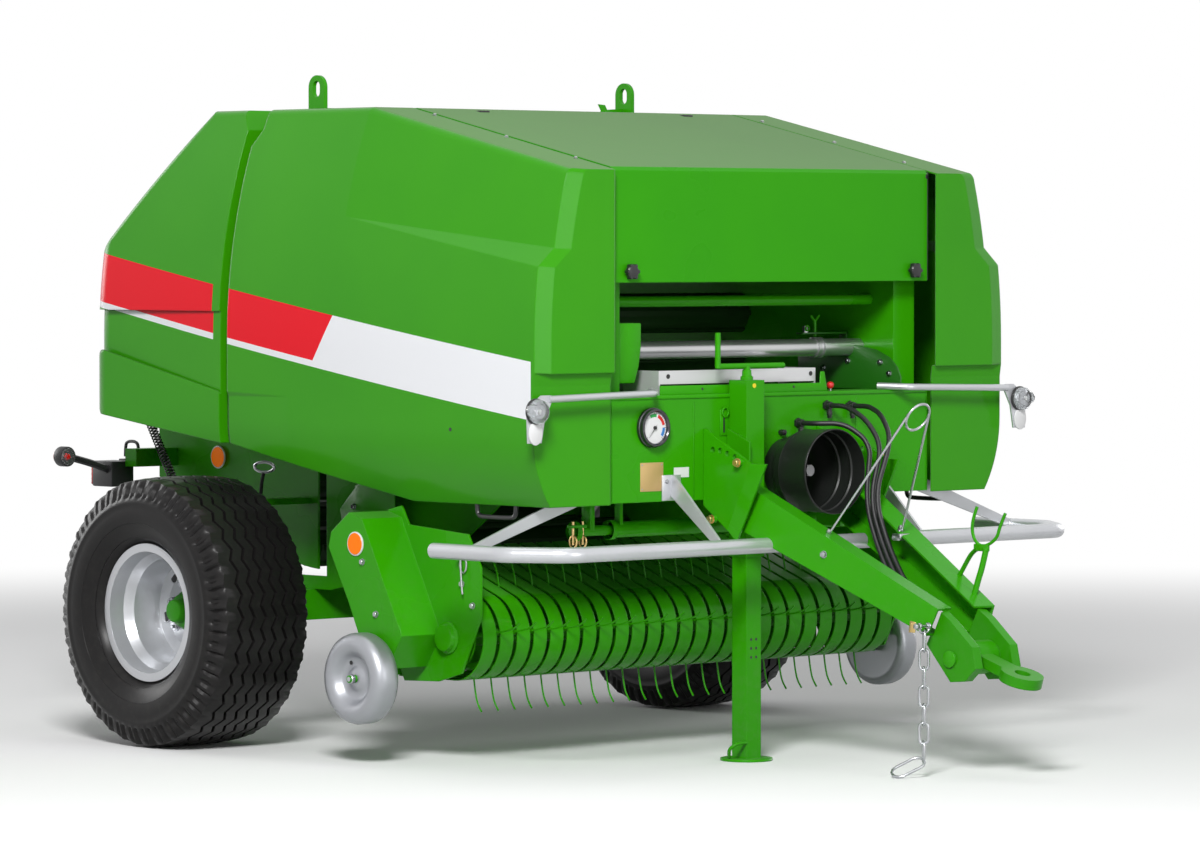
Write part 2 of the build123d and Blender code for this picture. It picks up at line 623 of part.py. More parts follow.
with BuildPart() as pto_guard:
    with BuildSketch(Plane(origin=(pto_x, box_front_y, pto_z), x_dir=(0, -1, 0), z_dir=(1, 0, 0))) as bell:
        Polygon((seat_gap, 100), (40, 104), (90, 128), (220, 134), (220, 129), (92, 123), (42, 99), (6, 95), (6, 70),
                (seat_gap, 70), align=None)
    revolve(bell.sketch, axis=Axis((pto_x, box_front_y, pto_z), (0, 1, 0)))
keep(pto_guard, "pto_guard")

bracket_fold = ((box_front_y - bracket_reach, 938), (box_front_y - 108, 729))
bracket_holes = ((box_front_y - 43, 977), (box_front_y - 75, 975), (box_front_y - 108, 967), (box_front_y - 141, 957))
with BuildPart() as drawbar_brackets:
    plate([(box_front_y - seat_gap, 1043), *bracket_fold, (box_front_y - seat_gap, 803)], bracket_x - bracket_t, bracket_t)
    plate([(box_front_y - seat_gap, bracket_top_z), (box_front_y - 100, bracket_top_z - 40),
           (box_front_y - 100, bracket_bottom_z), (box_front_y - seat_gap, bracket_bottom_z)], bracket_inner_x, 8)
    for y, z in bracket_holes:
        rod_x(y, z, 9, bracket_x - bracket_t - 1, bracket_x + 1, mode=Mode.SUBTRACT)
    rod_x(bracket_bolt_y, bracket_bolt_z, 12, bracket_x - 2, bracket_x + 14)
    rod_x(box_front_y - 166, 941, 12, bracket_x - bracket_t - 4, bracket_x + 12)
    fold_top, fold_low = (Vector(bracket_x, *corner) for corner in bracket_fold)
    beam_run = (Vector(*beam_front) - Vector(*beam_rear)).normalized()
    wing_plane = Plane(origin=fold_top, x_dir=beam_run, z_dir=(fold_top - fold_low).cross(beam_run))
    wing_low = wing_plane.to_local_coords(fold_low)
    with BuildSketch(wing_plane) as wing:
        Polygon((0, 0), (54, -26), (wing_low.X + 46, wing_low.Y + 18), (wing_low.X, wing_low.Y), align=None)
    extrude(wing.sketch, amount=-8)
    mirror(about=Plane.YZ)
keep(drawbar_brackets, "drawbar_brackets")


def beam_block(width, height_rear, height_front, shift, mode=Mode.ADD):
    """One tapering drawbar beam from its rear section to its front section."""
    run = Vector(*beam_front) - Vector(*beam_rear)
    rear_plane = Plane(origin=beam_rear, x_dir=Vector(0, 0, 1).cross(run), z_dir=run)
    front_plane = Plane(origin=beam_front, x_dir=Vector(0, 0, 1).cross(run), z_dir=run)
    with BuildSketch(rear_plane) as rear:
        with Locations((shift, 0)):
            Rectangle(width, height_rear)
    with BuildSketch(front_plane) as front:
        with Locations((shift, 0)):
            Rectangle(width, height_front)
    return loft([rear.sketch.face(), front.sketch.face()], ruled=True, mode=mode)


with BuildPart() as drawbar_beams:
    beam_block(beam_w, beam_rear_h, beam_front_h, 0)
    beam_block(beam_w, beam_rear_h - 2 * beam_wall, beam_front_h - 2 * beam_wall, -beam_wall, mode=Mode.SUBTRACT)
    mirror(about=Plane.YZ)
keep(drawbar_beams, "drawbar_beams")

eye_droop = math.atan2(hitch_pin_z + 12 - eye_z, hitch_pin_y - eye_y)
hitch_side_x = 66
hitch_side_t = 34
hitch_side_plate = [
    (hitch_pin_y + 100, 400), (hitch_pin_y + 45, 505), (hitch_pin_y, 475), (hitch_pin_y - 90, 400),
    (hitch_pin_y - 105, 335), (hitch_pin_y - 60, 295), (hitch_pin_y, 290),
]
eye_axis = (0, -math.sin(eye_droop), math.cos(eye_droop))
with BuildPart() as tow_hitch:
    plate(hitch_side_plate, hitch_side_x, hitch_side_t)
    beam_block(beam_w + 2 * seat_gap, beam_rear_h + 2 * seat_gap, beam_front_h + 2 * seat_gap, 0, mode=Mode.SUBTRACT)
    mirror(about=Plane.YZ)
    rod_x(hitch_pin_y, hitch_pin_z, 24, -104, 104)
    rod_x(hitch_pin_y, hitch_pin_z, 52, -65, 65)
    eye_plane = Plane(origin=(0, eye_y, eye_z), x_dir=(1, 0, 0), z_dir=eye_axis)
    with BuildSketch(eye_plane.offset(-eye_t / 2)) as eye:
        Circle(tow_eye_r)
        with Locations((0, 110)):
            Rectangle(64, 180)
        Circle(eye_bore_r, mode=Mode.SUBTRACT)
    extrude(eye.sketch, amount=eye_t)
keep(tow_hitch, "tow_hitch")


def beside_beam(y, z, lane):
    """Point inside the left beam for one of three hoses, stacked by lane."""
    share = (y - beam_rear[1]) / (beam_front[1] - beam_rear[1])
    middle_x = beam_rear[0] + share * (beam_front[0] - beam_rear[0])
    return (middle_x - beam_w / 2 - hose_r - 9, y - lane * 19, z + lane * 12)


def tube_through(points, radius):
    """Hose or wire of straight runs joined by arcs as large as the runs allow."""
    corners = [Vector(*point) for point in points]
    radii = []
    for before, corner, after in zip(corners, corners[1:], corners[2:]):
        turn = math.radians((corner - before).get_angle(after - corner))
        shorter = min((corner - before).length, (after - corner).length)
        radii.append(0.45 * shorter / math.tan(turn / 2))
    print("bends", [round(bend) for bend in radii])
    with BuildLine() as route:
        FilletPolyline(*points, radius=radii)
    with BuildSketch(Plane(origin=route.line @ 0, z_dir=route.line % 0)) as ring:
        Circle(radius)
    sweep(ring.sketch, path=route.line)


hose_r = 8
hose_y = box_front_y - 26
hose_runs = (
    (-1, (108, hose_y, 1051), (108, hose_y - 52, 1051),
     (172, hose_y - 122, 1052), (214, hose_y - 196, 990)),
    (0, (235, hose_y, 1104), (235, hose_y - 62, 1104),
     (230, hose_y - 158, 1066), (222, hose_y - 236, 985)),
    (1, (339, hose_y, 1101), (339, hose_y - 62, 1101),
     (296, hose_y - 160, 1080), (240, hose_y - 262, 1006)),
)
with BuildPart() as hose_ends:
    for lane, port, *rest in hose_runs:
        rod_y(port[0], port[2], 12, hose_y, box_front_y - seat_gap)
        rod_y(port[0], port[2], 17, box_front_y - 14, box_front_y - seat_gap)
keep(hose_ends, "hose_ends")

with BuildPart() as hoses:
    for lane, port, *rest in hose_runs:
        start = (port[0], port[1] - seat_gap, port[2])
        drop = [beside_beam(box_front_y + y, z, lane) for y, z in ((-284, 812), (-366, 660), (-462, 545), (-600, 470))]
        tube_through([start, *rest, *drop], hose_r)
keep(hoses, "hoses")

rest_wire_r = 4
rest_ring_r = 46
rest_ring = (6, 418)
rest_plane = Plane(origin=(0, box_front_y - 425, 720), x_dir=(1, 0, 0), z_dir=(0, -0.874, -0.485))
rest_feet = ((-175, 6), (142, 6))
with BuildPart() as shaft_rest:
    for (foot_x, foot_z), side in zip(rest_feet, (-1, 1)):
        reach = math.hypot(rest_ring[0] - foot_x, rest_ring[1] - foot_z)
        lean = math.atan2(rest_ring[1] - foot_z, rest_ring[0] - foot_x) - side * math.asin((rest_ring_r - 2) / reach)
        run = math.sqrt(reach ** 2 - rest_ring_r ** 2)
        foot = rest_plane.from_local_coords(Vector(foot_x, foot_z, side * rest_wire_r * 0.6))
        tip = rest_plane.from_local_coords(Vector(foot_x + run * math.cos(lean), foot_z + run * math.sin(lean), side * rest_wire_r * 0.6))
        bar_between(foot, tip, rest_wire_r)
    with BuildSketch(Plane(origin=rest_plane.from_local_coords(Vector(rest_ring[0] + rest_ring_r, rest_ring[1], 0)),
                           x_dir=(1, 0, 0), z_dir=rest_plane.y_dir)) as wire:
        Circle(rest_wire_r)
    ring_axis = Axis(rest_plane.from_local_coords(Vector(rest_ring[0], rest_ring[1], 0)), rest_plane.z_dir)
    revolve(wire.sketch, axis=ring_axis)
keep(shaft_rest, "shaft_rest")

with BuildPart() as stand_tube:
    block(stand_x - stand_tube_w / 2, stand_x + stand_tube_w / 2, stand_y - stand_tube_w / 2,
          stand_y + stand_tube_w / 2, stand_tube_bottom_z, stand_tube_top_z)
    block(stand_x - stand_leg_w / 2 - seat_gap, stand_x + stand_leg_w / 2 + seat_gap,
          stand_y - stand_leg_w / 2 - seat_gap, stand_y + stand_leg_w / 2 + seat_gap, stand_tube_bottom_z - 1, stand_tube_top_z - 6, mode=Mode.SUBTRACT)
    bar_between((stand_x, stand_y, stand_tube_top_z - 1), (stand_x, stand_y, 1236), 11)
    bar_between((stand_x - 126, stand_y, 1236), (stand_x + 158, stand_y, 1236), 9)
    bar_between((stand_x - 126, stand_y, 1230), (stand_x - 126, stand_y, 1341), 9)
keep(stand_tube, "stand_tube")

with BuildPart() as stand_leg:
    block(stand_x - stand_leg_w / 2, stand_x + stand_leg_w / 2, stand_y - stand_leg_w / 2,
          stand_y + stand_leg_w / 2, foot_t - 1, 780)
    block(stand_x - stand_leg_w / 2 + 5, stand_x + stand_leg_w / 2 - 5, stand_y - stand_leg_w / 2 + 5,
          stand_y + stand_leg_w / 2 - 5, foot_t, 781, mode=Mode.SUBTRACT)
    bar_between((stand_x, stand_y, 0), (stand_x, stand_y, foot_t), foot_r)
keep(stand_leg, "stand_leg")

# --------------------------------------------------------------- guard rail, front lamps, small fittings
rail_r = 24
rail_z = 685
rail_x = 1200
rail_front_y = box_front_y - 230
rail_bend_y = rail_front_y + 160
rail_back_y = rail_front_y + 480
rail_bend_x = rail_x - 120
rail_arm_y = box_front_y + 92
with BuildPart() as guard_rail:
    with BuildLine() as rail_path:
        FilletPolyline((-rail_x, rail_back_y, rail_z), (-rail_x, rail_bend_y, rail_z), (-rail_bend_x, rail_front_y, rail_z),
                       (rail_bend_x, rail_front_y, rail_z), (rail_x, rail_bend_y, rail_z), (rail_x, rail_back_y, rail_z),
                       radius=90)
    with BuildSketch(Plane(origin=rail_path.line @ 0, z_dir=rail_path.line % 0)) as rail_ring:
        Circle(rail_r)
    sweep(rail_ring.sketch, path=rail_path.line)
    beam_cut = beam_block(beam_w + 2 * seat_gap, beam_rear_h + 2 * seat_gap, beam_front_h + 2 * seat_gap, 0,
                          mode=Mode.PRIVATE)
    add(beam_cut, mode=Mode.SUBTRACT)
    mirror(beam_cut, about=Plane.YZ, mode=Mode.SUBTRACT)
    for x in (-444, 444):
        plate([(box_front_y - seat_gap, 900), (box_front_y - 20, 900), (rail_front_y + 10, rail_z + 26),
               (rail_front_y + 10, rail_z + 6), (rail_front_y + 30, rail_z + 6), (box_front_y - seat_gap, 840)], x - 4, 8)
    for side in (-1, 1):
        with BuildSketch(Plane.XZ.offset(-rail_arm_y)) as rail_arm:
            Polygon((side * (box_half_w + seat_gap), box_bottom_z + 52), (side * (box_half_w + 60), box_bottom_z + 40),
                    (side * (rail_x - 10), rail_z + 20), (side * (rail_x - 10), rail_z - 8),
                    (side * (box_half_w + 45), box_bottom_z - 6), (side * (box_half_w + seat_gap), box_bottom_z + 4),
                    align=None)
        extrude(rail_arm.sketch, amount=8)
keep(guard_rail, "guard_rail")

with BuildPart() as lamp_arms:
    with BuildLine() as arm_path:
        FilletPolyline((500, box_front_y + 30, box_top_z + 13), (560, box_front_y - 56, box_top_z + 10),
                       (1010, box_front_y - 62, box_top_z), radius=40)
    with BuildSketch(Plane(origin=arm_path.line @ 0, z_dir=arm_path.line % 0)) as arm_ring:
        Circle(11)
    sweep(arm_ring.sketch, path=arm_path.line)
    with BuildSketch(Plane.XZ.offset(-(box_front_y - 58))) as lamp_plate:
        Polygon((1000, box_top_z + 12), (1040, box_top_z + 12), (1098, 1118), (1094, 1016), (1040, 1016),
                (1026, 1090), (1000, box_top_z - 12), align=None)
    extrude(lamp_plate.sketch, amount=6)
    mirror(about=Plane.YZ)
keep(lamp_arms, "lamp_arms")

with BuildPart() as front_lamps:
    rod_y(1066, 1112, 40, box_front_y - 118, box_front_y - 64 - seat_gap)
    rod_y(1068, 1046, 28, box_front_y - 74, box_front_y - 64 - seat_gap)
    mirror(about=Plane.YZ)
keep(front_lamps, "front_lamps")

with BuildPart() as pressure_gauge:
    rod_y(172 - box_half_w, 1050, 62, box_front_y - 28, box_front_y - seat_gap)
keep(pressure_gauge, "pressure_gauge")

with BuildPart() as net_roller:
    rod_x(axle_y - 1350, 1283, 28, -side_wall_inner + seat_gap, side_wall_inner - seat_gap)
keep(net_roller, "net_roller")
with BuildPart() as net_tray:
    block(-470, 215, axle_y - 1540, axle_y - 1380, box_top_z + 34, box_top_z + 38)
    block(-470, 215, axle_y - 1544, axle_y - 1540, box_top_z + 34, box_top_z + 76)
    for x in (-470, 209):
        block(x, x + 6, axle_y - 1544, axle_y - 1380, box_top_z + seat_gap, box_top_z + 76)
keep(net_tray, "net_tray")

# --------------------------------------------------------------- pickup
band_rise = 20
band_tail_y = axle_y - 768
back_beam_y = axle_y - 832
back_beam_z = 402
back_beam = 66
band_foot_y = back_beam_y + 8
rise = math.radians(band_rise)


def band_edge(radius):
    """Corner points of one face of a band: foot, bottom, front, crest, tail."""
    crest = (reel_y - radius * math.sin(rise), reel_z + radius * math.cos(rise))
    tail = (band_tail_y, crest[1] + (band_tail_y - crest[0]) * math.tan(rise))
    return (band_foot_y, reel_z - radius), (reel_y, reel_z - radius), (reel_y - radius, reel_z), crest, tail


def band_under(y):
    """Height of the underside of the bands' rear run, less a seating gap."""
    crest_y = reel_y - (band_r - band_t) * math.sin(rise)
    crest_z = reel_z + (band_r - band_t) * math.cos(rise)
    return crest_z + (y - crest_y) * math.tan(rise) - seat_gap


with BuildPart() as pickup_frame:
    cheek = [(axle_y - 692, 668), (axle_y - 803, 784), (axle_y - 865, 798), (axle_y - 900, 740),
             (axle_y - 1180, 720), (axle_y - 1240, 620), (axle_y - 1240, 465), (axle_y - 1150, 286),
             (axle_y - 1041, 256), (axle_y - 880, 250), (axle_y - 760, 460)]
    plate(cheek, cheek_x, 8)
    cheek_box = [(axle_y - 704, 668), (axle_y - 716, 716), (axle_y - 803, 780), (axle_y - 865, 762),
                 (axle_y - 1055, 405), (axle_y - 986, 300), (axle_y - 900, 300), (axle_y - 802, 497)]
    plate(cheek_box, cheek_x + 7, cheek_outer_x - cheek_x - 7)
    with BuildSketch(Plane.YZ.offset(cheek_x + 8)) as cheek_hollow:
        Polygon(*cheek_box, align=None)
        offset(amount=-cheek_skin, mode=Mode.REPLACE)
    extrude(cheek_hollow.sketch, amount=cheek_outer_x - cheek_x - 8 - cheek_skin, mode=Mode.SUBTRACT)
    rod_x(gauge_y, gauge_z, 16, cheek_outer_x - 12, cheek_outer_x)
    plate([(gauge_y + 60, 400), (gauge_y - 60, 400), (gauge_y - 24, 246), (gauge_y + 24, 246)], cheek_outer_x - 14, 12)
    rod_x(gauge_y, gauge_z, 12, cheek_outer_x - 2, gauge_x + gauge_w / 2)
    plate([(pickup_pivot_y + 40, pickup_pivot_z), (pickup_pivot_y, pickup_pivot_z + 42),
           (pickup_pivot_y - 40, pickup_pivot_z + 20), (back_beam_y - 4, 520), (back_beam_y - 4, 402),
           (back_beam_y + 60, 402), (pickup_pivot_y + 20, pickup_pivot_z - 36)], side_wall_outer + 8, 10)
    rod_x(pickup_pivot_y, pickup_pivot_z, pickup_pin_r + run_fit, side_wall_outer, side_wall_outer + 60,
          mode=Mode.SUBTRACT)
    mirror(about=Plane.YZ)
    block(-cheek_x - 1, cheek_x + 1, back_beam_y, back_beam_y + back_beam, back_beam_z, back_beam_z + back_beam)
    block(-cheek_x + 20, cheek_x - 20, back_beam_y + 6, back_beam_y + back_beam - 6, back_beam_z + 6,
          back_beam_z + back_beam - 6, mode=Mode.SUBTRACT)
    block(-cheek_x - 1, cheek_x + 1, band_foot_y - 8, band_foot_y, reel_z - band_r + band_t + seat_gap, back_beam_z + 1)
    rail_low_y, rail_high_y = band_tail_y - 14, band_tail_y - 2
    plate([(rail_low_y, back_beam_z + back_beam - 2), (rail_high_y, back_beam_z + back_beam - 2),
           (rail_high_y, band_under(rail_high_y)), (rail_low_y, band_under(rail_low_y))], -cheek_x - 1, 2 * cheek_x + 2)
    rod_x(reel_y, reel_z, 25.05, -cheek_outer_x - 1, cheek_outer_x + 1, mode=Mode.SUBTRACT)
keep(pickup_frame, "pickup_frame")

with BuildPart() as pickup_bands:
    for turn in range(band_count):
        with BuildSketch(Plane.YZ.offset(band_first_x + turn * band_pitch)) as band:
            with BuildLine():
                foot, bottom, front, crest, tail = band_edge(band_r)
                inner_foot, inner_bottom, inner_front, inner_crest, inner_tail = band_edge(band_r - band_t)
                Line(foot, bottom)
                ThreePointArc(bottom, front, crest)
                Polyline(crest, tail, inner_tail, inner_crest)
                ThreePointArc(inner_crest, inner_front, inner_bottom)
                Polyline(inner_bottom, inner_foot, foot)
            make_face()
        extrude(band.sketch, amount=band_w)
keep(pickup_bands, "pickup_bands")

slot_x = [band_first_x + turn * band_pitch + band_w + (band_pitch - band_w) / 2 for turn in range(band_count - 1)]
with BuildPart() as pickup_reel:
    rod_x(reel_y, reel_z, 30, -cheek_x + 2, cheek_x - 2)
    rod_x(reel_y, reel_z, 25, -cheek_x - 20, cheek_x + 20)
    for quarter in range(4):
        angle = math.radians(quarter * 90 - 8)
        c, s = math.cos(angle), math.sin(angle)
        rod_x(reel_y + tine_bar_r * c, reel_z + tine_bar_r * s, 12, -cheek_x + 12, cheek_x - 12)
        with BuildSketch(Plane(origin=(0, reel_y, reel_z), x_dir=(1, 0, 0), z_dir=(0, c, s)).offset(tine_bar_r)) as tips:
            with Locations(*[(x, 0) for x in slot_x]):
                Rectangle(tine_w, tine_w)
        extrude(tips.sketch, amount=tine_tip_r - tine_bar_r)
    for x in (-cheek_x + 12, -300, 300, cheek_x - 18):
        rod_x(reel_y, reel_z, tine_bar_r + 8, x, x + 6)
keep(pickup_reel, "pickup_reel")

for side, side_name in ((1, "left"), (-1, "right")):
    with BuildPart() as gauge_wheel:
        with BuildSketch(Plane(origin=(side * gauge_x, gauge_y, gauge_z), x_dir=(side, 0, 0), z_dir=(0, -side, 0))) as profile:
            Polygon((-gauge_w / 2 + 4, 12.05), (-gauge_w / 2 + 4, gauge_r - 30), (-gauge_w / 2, gauge_r - 12),
                    (-gauge_w / 2 + 12, gauge_r), (gauge_w / 2 - 12, gauge_r), (gauge_w / 2, gauge_r - 12),
                    (gauge_w / 2 - 4, gauge_r - 30), (gauge_w / 2 - 30, gauge_r - 50), (gauge_w / 2 - 30, 40),
                    (gauge_w / 2 - 10, 30), (gauge_w / 2 - 10, 12.05), align=None)
        revolve(profile.sketch, axis=Axis((0, gauge_y, gauge_z), (1, 0, 0)))
    keep(gauge_wheel, f"gauge_wheel_{side_name}")

# --------------------------------------------------------------- safety chain
link_len = 70
link_w = 26
link_wire = 6.5
link_t = 6
link_bend_r = link_w / 2 - link_wire
link_sag = link_bend_r - math.sqrt(link_bend_r ** 2 - (link_t / 2) ** 2)
link_pitch = link_len - 2 * link_wire - 2 * link_sag - seat_gap
link_count = 7
chain_top_z = 414
chain_x, chain_y = -150, hitch_pin_y + 62
shackle_pin_r = 5
shackle_pin_z = chain_top_z + link_len / 2 - link_wire - shackle_pin_r - seat_gap
with BuildPart() as safety_chain:
    for turn in range(link_count):
        link_z = chain_top_z - turn * link_pitch
        normal = (0, 1, 0) if turn % 2 else (1, 0, 0)
        link_plane = Plane(origin=(chain_x, chain_y, link_z), x_dir=(0, 0, 1), z_dir=normal)
        with BuildSketch(link_plane.offset(-link_t / 2)) as link:
            SlotOverall(link_len, link_w)
            SlotOverall(link_len - 2 * link_wire, link_w - 2 * link_wire, mode=Mode.SUBTRACT)
        extrude(link.sketch, amount=link_t)
    rod_x(chain_y, shackle_pin_z, shackle_pin_r, -166, -134)
keep(safety_chain, "safety_chain")
print(len(written), "pieces")
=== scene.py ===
import math

import bmesh
import bpy
from mathutils import Matrix, Vector


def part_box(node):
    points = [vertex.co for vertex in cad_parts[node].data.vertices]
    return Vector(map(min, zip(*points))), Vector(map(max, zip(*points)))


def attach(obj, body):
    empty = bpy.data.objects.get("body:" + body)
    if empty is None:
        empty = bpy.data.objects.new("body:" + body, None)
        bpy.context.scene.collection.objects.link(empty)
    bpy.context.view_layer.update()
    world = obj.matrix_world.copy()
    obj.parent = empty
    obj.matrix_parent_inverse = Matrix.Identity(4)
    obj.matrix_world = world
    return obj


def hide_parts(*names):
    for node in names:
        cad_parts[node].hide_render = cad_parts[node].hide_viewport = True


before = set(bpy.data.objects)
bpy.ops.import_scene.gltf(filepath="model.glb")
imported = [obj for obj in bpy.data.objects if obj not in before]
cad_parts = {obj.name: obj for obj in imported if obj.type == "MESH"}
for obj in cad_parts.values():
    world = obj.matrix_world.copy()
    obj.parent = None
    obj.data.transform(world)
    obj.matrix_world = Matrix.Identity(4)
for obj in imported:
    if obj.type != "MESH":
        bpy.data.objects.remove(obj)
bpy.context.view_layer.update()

# Round baler: paint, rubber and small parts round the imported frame.
# Metres; -Y is the front, +X the machine's left.
scene = bpy.context.scene
xAxis, yAxis, zAxis = Vector((1, 0, 0)), Vector((0, 1, 0)), Vector((0, 0, 1))
bothSides = (("left", 1), ("right", -1))


def middle(node):
    low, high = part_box(node)
    return (low + high) / 2


axleY = middle("axle_beam").y
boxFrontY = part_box("front_box")[0].y


# Node helpers

def feed(tree, node, values):
    # each value is a number, a colour or another node's output
    for socket, value in values.items():
        if isinstance(value, bpy.types.NodeSocket):
            tree.links.new(value, node.inputs[socket])
        else:
            node.inputs[socket].default_value = value
    return node


def newNode(tree, kind, values=None, **settings):
    node = tree.nodes.new("ShaderNode" + kind)
    for label, value in settings.items():
        setattr(node, label, value)
    return feed(tree, node, values or {})


def calculate(tree, operation, *values, clamp=False):
    return newNode(tree, "Math", dict(enumerate(values)), operation=operation, use_clamp=clamp).outputs[0]


def between(tree, value, low, high):
    above = calculate(tree, "GREATER_THAN", value, low)
    return calculate(tree, "MULTIPLY", above, calculate(tree, "LESS_THAN", value, high))


def ranged(tree, value, low, high, fromLow=0.0, fromHigh=1.0, shape="LINEAR"):
    values = {"Value": value, "From Min": fromLow, "From Max": fromHigh, "To Min": low, "To Max": high}
    return newNode(tree, "MapRange", values, interpolation_type=shape).outputs[0]


def blendColours(tree, factor, first, second):
    first, second = [(*tone, 1) if isinstance(tone, tuple) else tone for tone in (first, second)]
    return newNode(tree, "Mix", {0: factor, 6: first, 7: second}, data_type="RGBA").outputs[2]


def noise(tree, vector, scale, detail, rough=0.5):
    values = {"Vector": vector, "Scale": scale, "Detail": detail, "Roughness": rough}
    return newNode(tree, "TexNoise", values).outputs["Fac"]


def relief(tree, height, strength, distance=0.0006, **before):
    values = {"Height": height, "Strength": strength, "Distance": distance, **before}
    return newNode(tree, "Bump", values).outputs[0]


def whiteRays(tree):
    # 1 where the backdrop is looked at, 0 where it gives light
    path = newNode(tree, "LightPath").outputs
    seen = calculate(tree, "MAXIMUM", path["Is Camera Ray"], path["Is Glossy Ray"])
    return calculate(tree, "MAXIMUM", seen, path["Is Transmission Ray"])


def newMaterial(name):
    mat = bpy.data.materials.new(name)
    mat.use_nodes = True
    mat.node_tree.nodes.clear()
    return mat, mat.node_tree


# Camera, lamps and floor

camera = {
    "place": (-12.279, -13.147, 1.619), "pitchDeg": 88.139, "turnDeg": -42.696, "lens": 166.8, "farEnd": 200,
}
lamps = {  # name: (place, aim, size, watts)
    "keyLamp": ((-7.2, -6.4, 6.6), (0, 0, 0.8), 2.4, 1080),
    "fillLamp": ((0.5, -9.5, 2.6), (0, 0, 0.9), 4.0, 150),
    "topLamp": ((0.5, 0.5, 11.0), (0, 0, 1), 6.0, 110),
    "backLamp": ((-2.5, 9.5, 3.6), (0, 0, 1), 4.0, 190),
    "sideLamp": ((9.5, 0.5, 3.2), (0, 0, 1), 4.0, 140),
}
studioWorld = {"strength": 0.17, "tone": (0.97, 0.985, 1.0, 1)}
studioFloor = {"size": 60, "seenTone": 1.0, "litTone": 0.55, "fadeFrom": 5.5, "fadeTo": 10.5}


def buildCamera():
    data = bpy.data.cameras.new("viewCamera")
    data.sensor_width, data.lens, data.clip_end = 36, camera["lens"], camera["farEnd"]
    obj = bpy.data.objects.new("viewCamera", data)
    obj.location = camera["place"]
    obj.rotation_euler = (math.radians(camera["pitchDeg"]), 0, math.radians(camera["turnDeg"]))
    scene.collection.objects.link(obj)
    scene.camera = obj


def buildLamps():
    for name, (place, aim, size, watts) in lamps.items():
        data = bpy.data.lights.new(name, "AREA")
        data.energy, data.size = watts, size
        obj = bpy.data.objects.new(name, data)
        obj.location = place
        obj.rotation_euler = (Vector(aim) - Vector(place)).to_track_quat("-Z", "Y").to_euler()
        scene.collection.objects.link(obj)


def buildWorld():
    scene.world = bpy.data.worlds.new("studioWorld")
    scene.world.use_nodes = True
    tree = scene.world.node_tree
    tree.nodes.clear()
    soft = newNode(tree, "Background", {"Color": studioWorld["tone"], "Strength": studioWorld["strength"]})
    white = newNode(tree, "Background", {"Color": (1, 1, 1, 1)})
    mix = newNode(tree, "MixShader", {0: whiteRays(tree), 1: soft.outputs[0], 2: white.outputs[0]})
    newNode(tree, "OutputWorld", {"Surface": mix.outputs[0]})


def buildFloor():
    bm = bmesh.new()
    bmesh.ops.create_grid(bm, x_segments=2, y_segments=2, size=studioFloor["size"] / 2)
    mesh = bpy.data.meshes.new("studioFloor")
    bm.to_mesh(mesh)
    bm.free()
    obj = bpy.data.objects.new("studioFloor", mesh)
    scene.collection.objects.link(obj)
    mat, tree = newMaterial("floorPaper")
    rays = whiteRays(tree)
    lit, seen = ((studioFloor[tone],) * 3 for tone in ("litTone", "seenTone"))
    paper = newNode(tree, "BsdfDiffuse", {"Color": blendColours(tree, rays, lit, seen)})
    coords = newNode(tree, "TexCoord").outputs["Object"]
    reach = newNode(tree, "VectorMath", {0: coords}, operation="LENGTH").outputs["Value"]
    fade = ranged(tree, reach, 0, 1, studioFloor["fadeFrom"], studioFloor["fadeTo"], "SMOOTHSTEP")
    far = calculate(tree, "MULTIPLY", fade, rays)  # the paper melts into the white backdrop
    glow = newNode(tree, "Emission")
    mix = newNode(tree, "MixShader", {0: far, 1: paper.outputs[0], 2: glow.outputs[0]})
    newNode(tree, "OutputMaterial", {"Surface": mix.outputs[0]})
    mesh.materials.append(mat)


# Finishes

# name: (deep tone, light tone, roughness low, high, coat, edge radius, metal, specular, pale top: dust and
# partly a painted reflection)
paints = {
    "greenPaint": ((0.028, 0.300, 0.001), (0.040, 0.360, 0.001), 0.22, 0.32, 0.05, 0.0038, 0.0, 0.15, 0.25),
    "hoodPaint": ((0.026, 0.300, 0.001), (0.038, 0.350, 0.001), 0.24, 0.34, 0.0, 0.0045, 0.0, 0.14, 1.0),
    "coverPaint": ((0.030, 0.290, 0.001), (0.044, 0.340, 0.001), 0.17, 0.25, 0.08, 0.007, 0.0, 0.15, 0.85),
    "silverPaint": ((0.52, 0.53, 0.55), (0.64, 0.65, 0.68), 0.24, 0.36, 0.10, 0.0015, 0.58, 0.5, 0.1),
    "castPaint": ((0.022, 0.245, 0.001), (0.034, 0.310, 0.001), 0.30, 0.46, 0.04, 0.004, 0.0, 0.18, 0.2),
}
coatFilm = {
    "broadScale": 2.3, "speckScale": 34, "speckFrom": 0.48, "speckTo": 0.72, "upFrom": 0.90, "upTo": 0.972,
    "peel": 0.06, "coatRough": 0.06, "sheen": 0.16, "sheenRough": 0.35,
    # the pale top tone is dust and partly a painted reflection of the white surroundings
    "lowDust": (0.20, 0.19, 0.16), "lowShare": 0.10, "topDustAndPaintedReflection": (0.30, 0.29, 0.24), "topDustAndReflectionShare": 0.42,
    "topRough": 0.95,
}
stripe = {  # heights at the axle, rise to the rear, bow, all along Y from the axle
    "top": 1.492, "rise": 0.1625, "bow": 0.00978, "redDepth": 0.158, "fullDepth": 0.178, "splitY": -0.541,
    "slant": 0.61, "frontY": -1.5725, "rearY": 0.60, "jointFrom": -0.105, "jointTo": -0.030, "outward": 0.60,
    "red": (0.83, 0.0, 0.012), "white": (0.86, 0.87, 0.90),
}
tyreRubber = {
    "deep": (0.006, 0.0055, 0.0058), "light": (0.013, 0.012, 0.012), "roughLow": 0.26, "roughHigh": 0.44,
    "specular": 0.22, "grain": 260, "relief": 0.18, "dustHigh": 0.95, "dustShare": 0.05,
}
